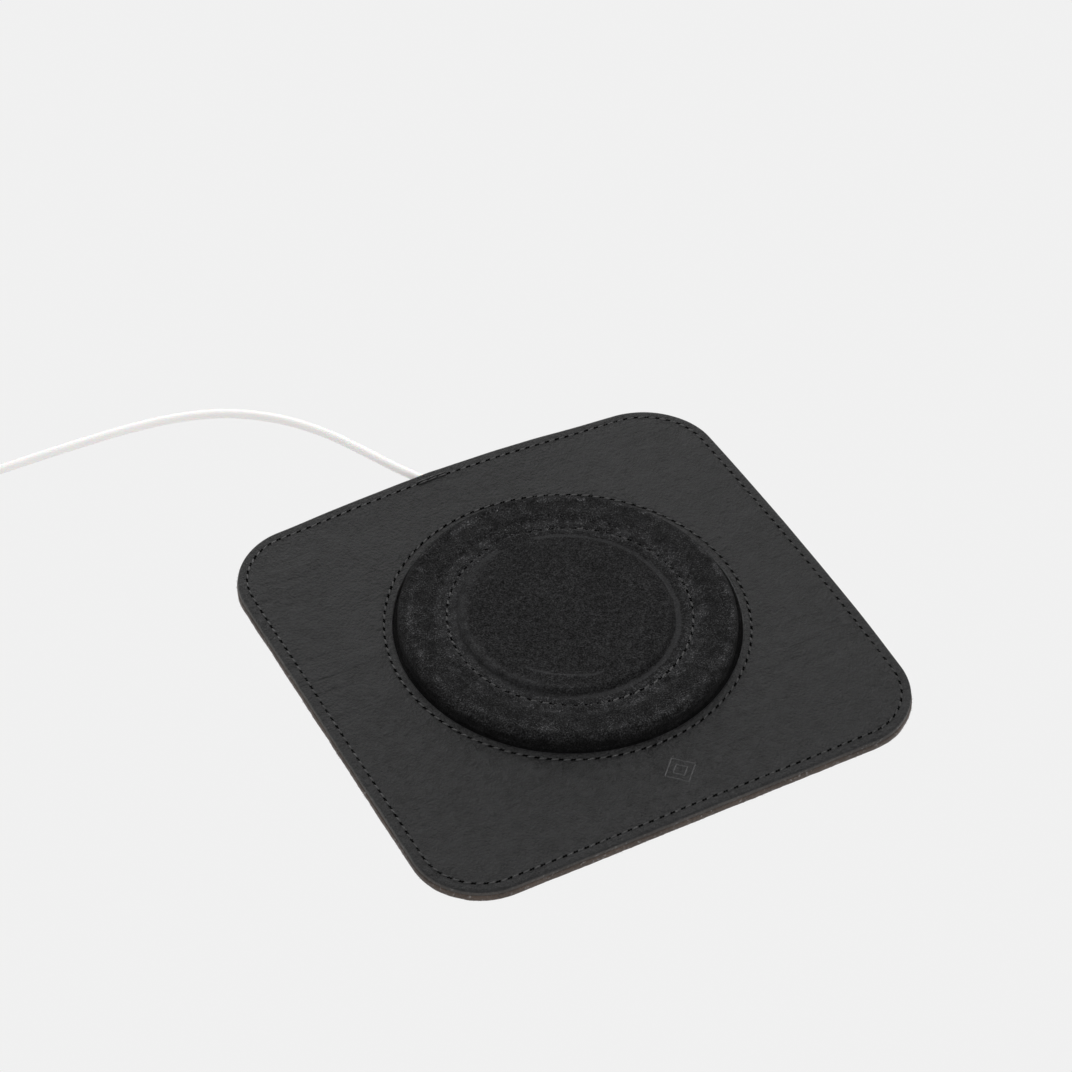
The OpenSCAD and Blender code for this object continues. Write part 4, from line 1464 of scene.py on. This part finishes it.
@dataclass
class Seams:
    """Every row of stitches.

    Attributes:
        mat: The mat they are sewn in.
        pitch: Length of a stitch and its gap.
        fill: Share of the pitch that the thread covers.
        around: Number of stitches round the mat.
        tack_x: Where the doubled stitches beside the cable start.
        tack_pitch: Length of each of those stitches.
    """

    mat: Mat
    pitch: float = 3.4
    fill: float = 0.74
    around: int = 167
    tack_x: float = -12.5
    tack_pitch: float = 3.2

    def __post_init__(self) -> None:
        """Makes the thread, and the black disc painted as the shade in each hole, that every row is stamped
        from.
        """
        thread = bmesh.new()
        bmesh.ops.create_uvsphere(thread, u_segments=6, v_segments=8, radius=1.0)
        bmesh.ops.rotate(thread, cent=(0, 0, 0), matrix=Matrix.Rotation(math.pi / 2, 3, "Y"),
                         verts=thread.verts)
        self.thread = Stamp(thread)
        # A flat black disc, painted shade standing for the depth of a stitch hole.
        pit = bmesh.new()
        bmesh.ops.create_circle(pit, cap_ends=True, segments=8, radius=1.0)
        for face in pit.faces:
            face.material_index = 1
        self.pit = Stamp(pit)

    def stitch(self, bm: bmesh.types.BMesh, a: Vector, b: Vector, height: float, hole: float = 0.41,
               width: float = 0.62, slant: float = 9.0) -> None:
        """Adds one stitch: a rounded length of thread with a black disc at each end, painted as the shade in its
        hole.

        Args:
            bm: The mesh to add it to.
            a: One end, on the leather.
            b: The other end.
            height: How far the thread stands out of the leather.
            hole: Radius of the black discs painted as shade in the holes, or 0 for none.
            width: Width of the thread.
            slant: Turn of the stitch off its row, in degrees.
        """
        span = b - a
        turn = (Matrix.Rotation(math.atan2(span.y, span.x) + math.radians(slant), 4, "Z")
                @ Matrix.Rotation(-math.atan2(span.z, span.xy.length), 4, "Y"))
        size = Matrix.Diagonal((span.length / 2, width / 2, height, 1))
        self.thread.press(bm, Matrix.Translation((a + b) / 2) @ turn @ size)
        # Each end gets a black disc of painted shade, just above the surface.
        for end in (a, b) if hole else ():
            lifted = Matrix.Translation(end + Vector((0, 0, 0.06)))
            wide = hole * (1 + 0.3 * ripple(end.x, end.y, 1.7, 2.0))
            self.pit.press(bm, lifted @ turn @ Matrix.Diagonal((wide * 1.15, wide * 0.9, 1, 1)))

    def row(self, shop: Workshop, name: str, node: str, ends: list[tuple[Vector, Vector]],
            height: Callable[[float, float], float], stand: float,
            hole: float = 0.41) -> bpy.types.Object:
        """Builds a row of stitches.

        Args:
            shop: The workshop.
            name: The piece's name.
            node: The CAD node that it stands for.
            ends: The ends of each stitch, in plan.
            height: The surface's height at a point.
            stand: How far the thread stands out.
            hole: Radius of the black discs painted as shade in the holes.

        Returns:
            The piece.
        """
        bm = bmesh.new()
        for a, b in ends:
            a, b = (Vector((p.x, p.y, height(p.x, p.y))) for p in (a, b))
            self.stitch(bm, a, b, stand, hole)
        return shop.piece(name, bm, ["thread_black", "stitch_hole_shade"], [node])

    def circle(self, radius: Callable[[float], float], start: float,
               stop: float) -> list[tuple[Vector, Vector]]:
        """Returns the ends of the stitches on a ring round the pad, between two angles in degrees.

        Args:
            radius: Gives the row's radius at an angle.
            start: Where the row starts.
            stop: Where it stops.

        Returns:
            The two ends of each stitch.
        """
        cx, cy = self.mat.outline.centre
        count = round(math.radians(stop - start) * radius(math.pi / 2) / self.pitch)
        ends = []
        for k in range(count):
            pair = [math.radians(start + (k + f) * (stop - start) / count) for f in (0.0, self.fill)]
            ends.append(tuple(Vector((cx + radius(t) * math.cos(t), cy + radius(t) * math.sin(t), 0))
                              for t in pair))
        return ends

    def build(self, shop: Workshop, pad: SuedePad) -> None:
        """Builds all the rows.

        Args:
            shop: The workshop.
            pad: The suede pad, for the pocket seam's place.
        """
        mat = self.mat
        around = mat.outline.walk(mat.edge_seam, self.around, self.fill)
        self.row(shop, "outer_seam", "perimeter_stitching", around,
                 lambda x, y: mat.face(x, y) - 0.1, 0.22)
        self.row(shop, "opening_seam", "opening_stitching",
                 self.circle(lambda a: mat.opening_seam, 0, 360),
                 lambda x, y: mat.face(x, y) - 0.12, 0.22)
        self.row(shop, "pocket_seam", "pocket_stitching", self.circle(pad.seam_radius, 99, 441),
                 lambda x, y: pad.groove_top + pad.relief(x, y) + 0.02, 0.12, 0.42)
        self.build_tack(shop)
        self.thread.drop()
        self.pit.drop()

    def build_tack(self, shop: Workshop) -> bpy.types.Object:
        """Builds the doubled stitches where the cable leaves.

        Args:
            shop: The workshop.

        Returns:
            The stitches.
        """
        bm = bmesh.new()
        seam_y = self.mat.back_y - self.mat.edge_seam
        for row in (-0.4, 0.4):
            y = seam_y + row
            for k in range(3):
                ends = (self.tack_x + self.tack_pitch * k + d for d in (0.0, self.pitch))
                a, b = (Vector((x, y, self.mat.face(x, y) + 0.1)) for x in ends)
                self.stitch(bm, a, b, 0.3, hole=0.0, width=0.5, slant=2.0)
        return shop.piece("cable_bar_tack", bm, ["thread_black"], ["exit_bar_tack"])


# ---- Fibres ----


@dataclass
class Fibres:
    """Loose fibres on the raw edge and on the rubbed suede; the light grey ones on the suede are partly real
    fuzz and partly painted glints.

    Attributes:
        mat: The mat.
        pad: The suede pad.
        seed: Start of the random numbers.
        edge_count: Fibres tried along the raw edge.
        nap_count: Fibres tried on the suede.
        thick: Thickness of a fibre at its root.
    """

    mat: Mat
    pad: SuedePad
    seed: int = 7
    edge_count: int = 1500
    nap_count: int = 2100
    thick: float = 0.045

    def __post_init__(self) -> None:
        """Makes the tapered fibre that all are stamped from, and reads the pad's section."""
        self.section = np.array(self.pad.section()).T
        bm = bmesh.new()
        bmesh.ops.create_cone(bm, cap_ends=True, segments=3, radius1=1.0, radius2=0.25, depth=1.0)
        bmesh.ops.translate(bm, vec=(0, 0, 0.5), verts=bm.verts)
        self.fibre = Stamp(bm)

    def strand(self, bm: bmesh.types.BMesh, at: Vector, way: Vector, length: float) -> None:
        """Adds one thin tapered fibre.

        Args:
            bm: The mesh to add it to.
            at: Where it is rooted.
            way: The direction it points in.
            length: Its length.
        """
        turn = way.to_track_quat("Z", "Y").to_matrix().to_4x4()
        size = Matrix.Diagonal((self.thick, self.thick, length, 1))
        self.fibre.press(bm, Matrix.Translation(at) @ turn @ size)

    def build_edge(self, shop: Workshop) -> bpy.types.Object:
        """Builds the fibres along the lower leather's raw edge.

        Args:
            shop: The workshop.

        Returns:
            The fibres.
        """
        rng = random.Random(self.seed)
        bm = bmesh.new()
        o = self.mat.outline
        for _ in range(self.edge_count):
            a = rng.uniform(-math.pi, math.pi)
            x, y = o.at(a, self.mat.base_radius(a, 0.0) - 0.1)
            if self.mat.off_cable(x, y) < 3:
                continue
            out = Vector((math.cos(a), math.sin(a), rng.uniform(-0.5, 0.6)))
            side = Vector((-math.sin(a), math.cos(a), 0)) * rng.uniform(-1.3, 1.3)
            z = rng.uniform(0.25, 2.0)
            length = rng.uniform(0.25, 0.6)
            if z + length * -0.5 < 0.3:
                out.z = abs(out.z)
            self.strand(bm, Vector((x, y, z)), (out + side).normalized(), length)
        return shop.piece("edge_fibres", bm, ["leather_cut"], [])

    def build_nap(self, shop: Workshop) -> bpy.types.Object:
        """Builds the light grey fibres that stand up in the pad's sewn groove and on its rim, partly real fuzz
        and partly painted glints.

        Args:
            shop: The workshop.

        Returns:
            The fibres.
        """
        rng = random.Random(self.seed + 1)
        bm = bmesh.new()
        cx, cy = self.pad.centre
        for _ in range(self.nap_count):
            a = rng.uniform(-math.pi, math.pi)
            seam = self.pad.seam_radius(a)
            r = rng.choice((rng.uniform(34.5, 41), rng.gauss(seam, 0.7), rng.uniform(44.5, 47.8)))
            x, y = cx + r * math.cos(a), cy + r * math.sin(a)
            if y > cy and abs(x - cx) < 6.5:
                continue
            if r > 42 and not (math.sin(a) < -0.2 or math.cos(a) < -0.7):
                continue
            z = self.surface(r) + self.pad.relief(x, y)
            way = Vector((rng.uniform(-1, 1), rng.uniform(-1, 1), rng.uniform(0.1, 0.6))).normalized()
            self.strand(bm, Vector((x, y, z - 0.03)), way, rng.uniform(0.3, 0.8))
        return shop.piece("suede_fibres", bm, ["suede_fibre"], [])

    def surface(self, radius: float) -> float:
        """Returns the height of the pad's section at a radius."""
        return float(np.interp(radius, *self.section))


# ---- Hidden parts ----


class Hardware:
    """The charger inside and the plug, whose CAD shapes stay and get their finishes."""

    FINISHES = {
        "filler_ring": "felt_grey", "adhesive_disc": "tape", "puck_shell": "aluminium",
        "puck_face": "plastic_white", "inner_frame": "plastic_frame", "magnet_shunt": "steel",
        "magnet_ring": "magnet", "nfc_antenna": "copper", "charging_coil": "copper",
        "ferrite_shield": "ferrite", "circuit_board": "board_green",
        "controller_chip": "component_black", "power_inductor": "component_grey",
        "capacitors": "component_tan", "bridge_transistors": "component_black",
        "lead_wires": "wire_red", "puck_strain_relief": "cable_white",
        "cable_inner_run": "cable_white", "plug_strain_relief": "cable_white",
        "plug_housing": "plastic_white", "plug_board": "board_green",
        "plug_insulator": "component_black", "plug_contacts": "gold", "plug_shell": "plug_metal",
    }

    def build(self, shop: Workshop) -> None:
        """Dresses every carried-over node."""
        for node, finish in self.FINISHES.items():
            shop.dress(node, finish)


# ---- Studio ----


@dataclass
class Studio:
    """Camera, lights and floor.

    Attributes:
        azimuth: Camera's turn about Z, in degrees.
        elevation: Camera's height above the horizon, in degrees.
        roll: Camera's roll, in degrees.
        focal: Focal length on a 36 mm sensor.
        distance: Camera's distance from its aim, in metres.
        aim: The point that it looks at, in metres.
        backdrop: Brightness of the floor and of what lies behind it.
    """

    azimuth: float = -29.07
    elevation: float = 44.44
    roll: float = 1.37
    focal: float = 111.32
    distance: float = 1.0
    aim: tuple[float, float, float] = (0.01158, 0.04289, 0.0)
    backdrop: float = 0.875

    def build_camera(self) -> None:
        """Places the camera."""
        a, e, roll = (math.radians(v) for v in (self.azimuth, self.elevation, self.roll))
        back = Vector((math.sin(a) * math.cos(e), -math.cos(a) * math.cos(e), math.sin(e)))
        right = Vector((0, 0, 1)).cross(back).normalized()
        up = back.cross(right)
        across = math.cos(roll) * right + math.sin(roll) * up
        above = -math.sin(roll) * right + math.cos(roll) * up
        data = bpy.data.cameras.new("camera")
        data.lens, data.sensor_width = self.focal, 36.0
        camera = bpy.data.objects.new("camera", data)
        place = Matrix((across, above, back)).transposed().to_4x4()
        place.translation = Vector(self.aim) + back * self.distance
        camera.matrix_world = place
        bpy.context.scene.collection.objects.link(camera)
        bpy.context.scene.camera = camera

    def build_light(self, name: str, place: tuple[float, float, float], size: float,
                    power: float) -> None:
        """Adds a soft square light that faces the mat.

        Args:
            name: The light's name.
            place: Where it stands, in metres.
            size: Its side in metres.
            power: Its power in watts.
        """
        data = bpy.data.lights.new(name, "AREA")
        data.size, data.energy = size, power
        light = bpy.data.objects.new(name, data)
        light.location = place
        light.rotation_mode = "QUATERNION"
        light.rotation_quaternion = Vector(place).to_track_quat("Z", "Y")
        bpy.context.scene.collection.objects.link(light)

    def build_floor(self) -> None:
        """Adds the plain pale floor; the world gives the same tone behind it."""
        bm = bmesh.new()
        bmesh.ops.create_grid(bm, x_segments=1, y_segments=1, size=4.0)
        mesh = bpy.data.meshes.new("floor")
        bm.to_mesh(mesh)
        bm.free()
        floor = bpy.data.objects.new("floor", mesh)
        material = bpy.data.materials.new("floor")
        material.use_nodes = True
        material.node_tree.nodes.clear()
        g = Graph(material.node_tree)
        tone = (self.backdrop, self.backdrop, self.backdrop, 1)
        glow = g.feed(g.add("Emission"), Color=tone, Strength=1.0)
        g.feed(g.add("OutputMaterial"), Surface=glow.outputs[0])
        mesh.materials.append(material)
        bpy.context.scene.collection.objects.link(floor)

    def build_world(self, low: float, high: float) -> None:
        """Sets the surroundings: the backdrop's tone to the eye, and light that grows to the back.

        Args:
            low: Brightness of the front of the room.
            high: Brightness above and behind the mat.
        """
        world = bpy.data.worlds.new("studio")
        world.use_nodes = True
        world.node_tree.nodes.clear()
        g = Graph(world.node_tree)
        seen = g.feed(g.add("Background"), Color=(self.backdrop,) * 3 + (1,), Strength=1.0)
        facing = g.add("VectorMath", operation="DOT_PRODUCT")
        g.feed(facing, i0=g.add("TexCoord").outputs["Generated"], i1=(-0.15, 0.55, 0.82))
        strength = g.spread(facing.outputs["Value"], -0.35, 0.85, low, high)
        light = g.feed(g.add("Background"), Color=(1, 1, 1, 1), Strength=strength)
        mix = g.add("MixShader")
        g.feed(mix, i0=g.add("LightPath").outputs["Is Camera Ray"], i1=light.outputs[0],
               i2=seen.outputs[0])
        g.feed(g.add("OutputWorld"), Surface=mix.outputs[0])
        bpy.context.scene.world = world

    def build(self) -> None:
        """Builds the studio."""
        bpy.context.scene.view_settings.view_transform = "Standard"
        self.build_camera()
        self.build_world(0.66, 0.5)
        self.build_light("back_softbox", (0.18, 0.72, 0.55), 0.5, 3.2)
        self.build_light("overhead", (0.15, -0.1, 1.2), 1.0, 4.9)
        self.build_floor()


def main() -> None:
    """Builds the object, its finishes and the studio, sized from the CAD boxes of the base and the pad."""
    logging.basicConfig(level=logging.INFO, format="%(name)s: %(message)s")
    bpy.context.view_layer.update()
    Studio().build()
    base_low, base_high = (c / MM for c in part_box("base_panel"))
    outline = Outline(width=round(base_high.x - base_low.x, 3),
                      depth=round(base_high.y - base_low.y, 3))
    pad_low, pad_high = (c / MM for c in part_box("suede_cover"))
    pad_centre = tuple(float((a + b) / 2) for a, b in zip(pad_low, pad_high))[:2]
    outline.centre = pad_centre
    shop = Workshop(Wardrobe(Effects(), tuple(c * MM for c in pad_centre)))
    cable = Cable()
    cable.build_strap(shop)
    cable.build(shop, ["coil_strap", "plug_strain_relief", "plug_housing", "plug_board",
                       "plug_insulator", "plug_contacts", "plug_shell"])
    mat = Mat(outline)
    mat.build_base(shop)
    mat.build_top(shop)
    pad = SuedePad(centre=pad_centre)
    pad.build(shop, mat)
    Seams(mat).build(shop, pad)
    fibres = Fibres(mat, pad)
    fibres.build_edge(shop)
    fibres.build_nap(shop)
    Hardware().build(shop)


if __name__ == "__main__":
    main()
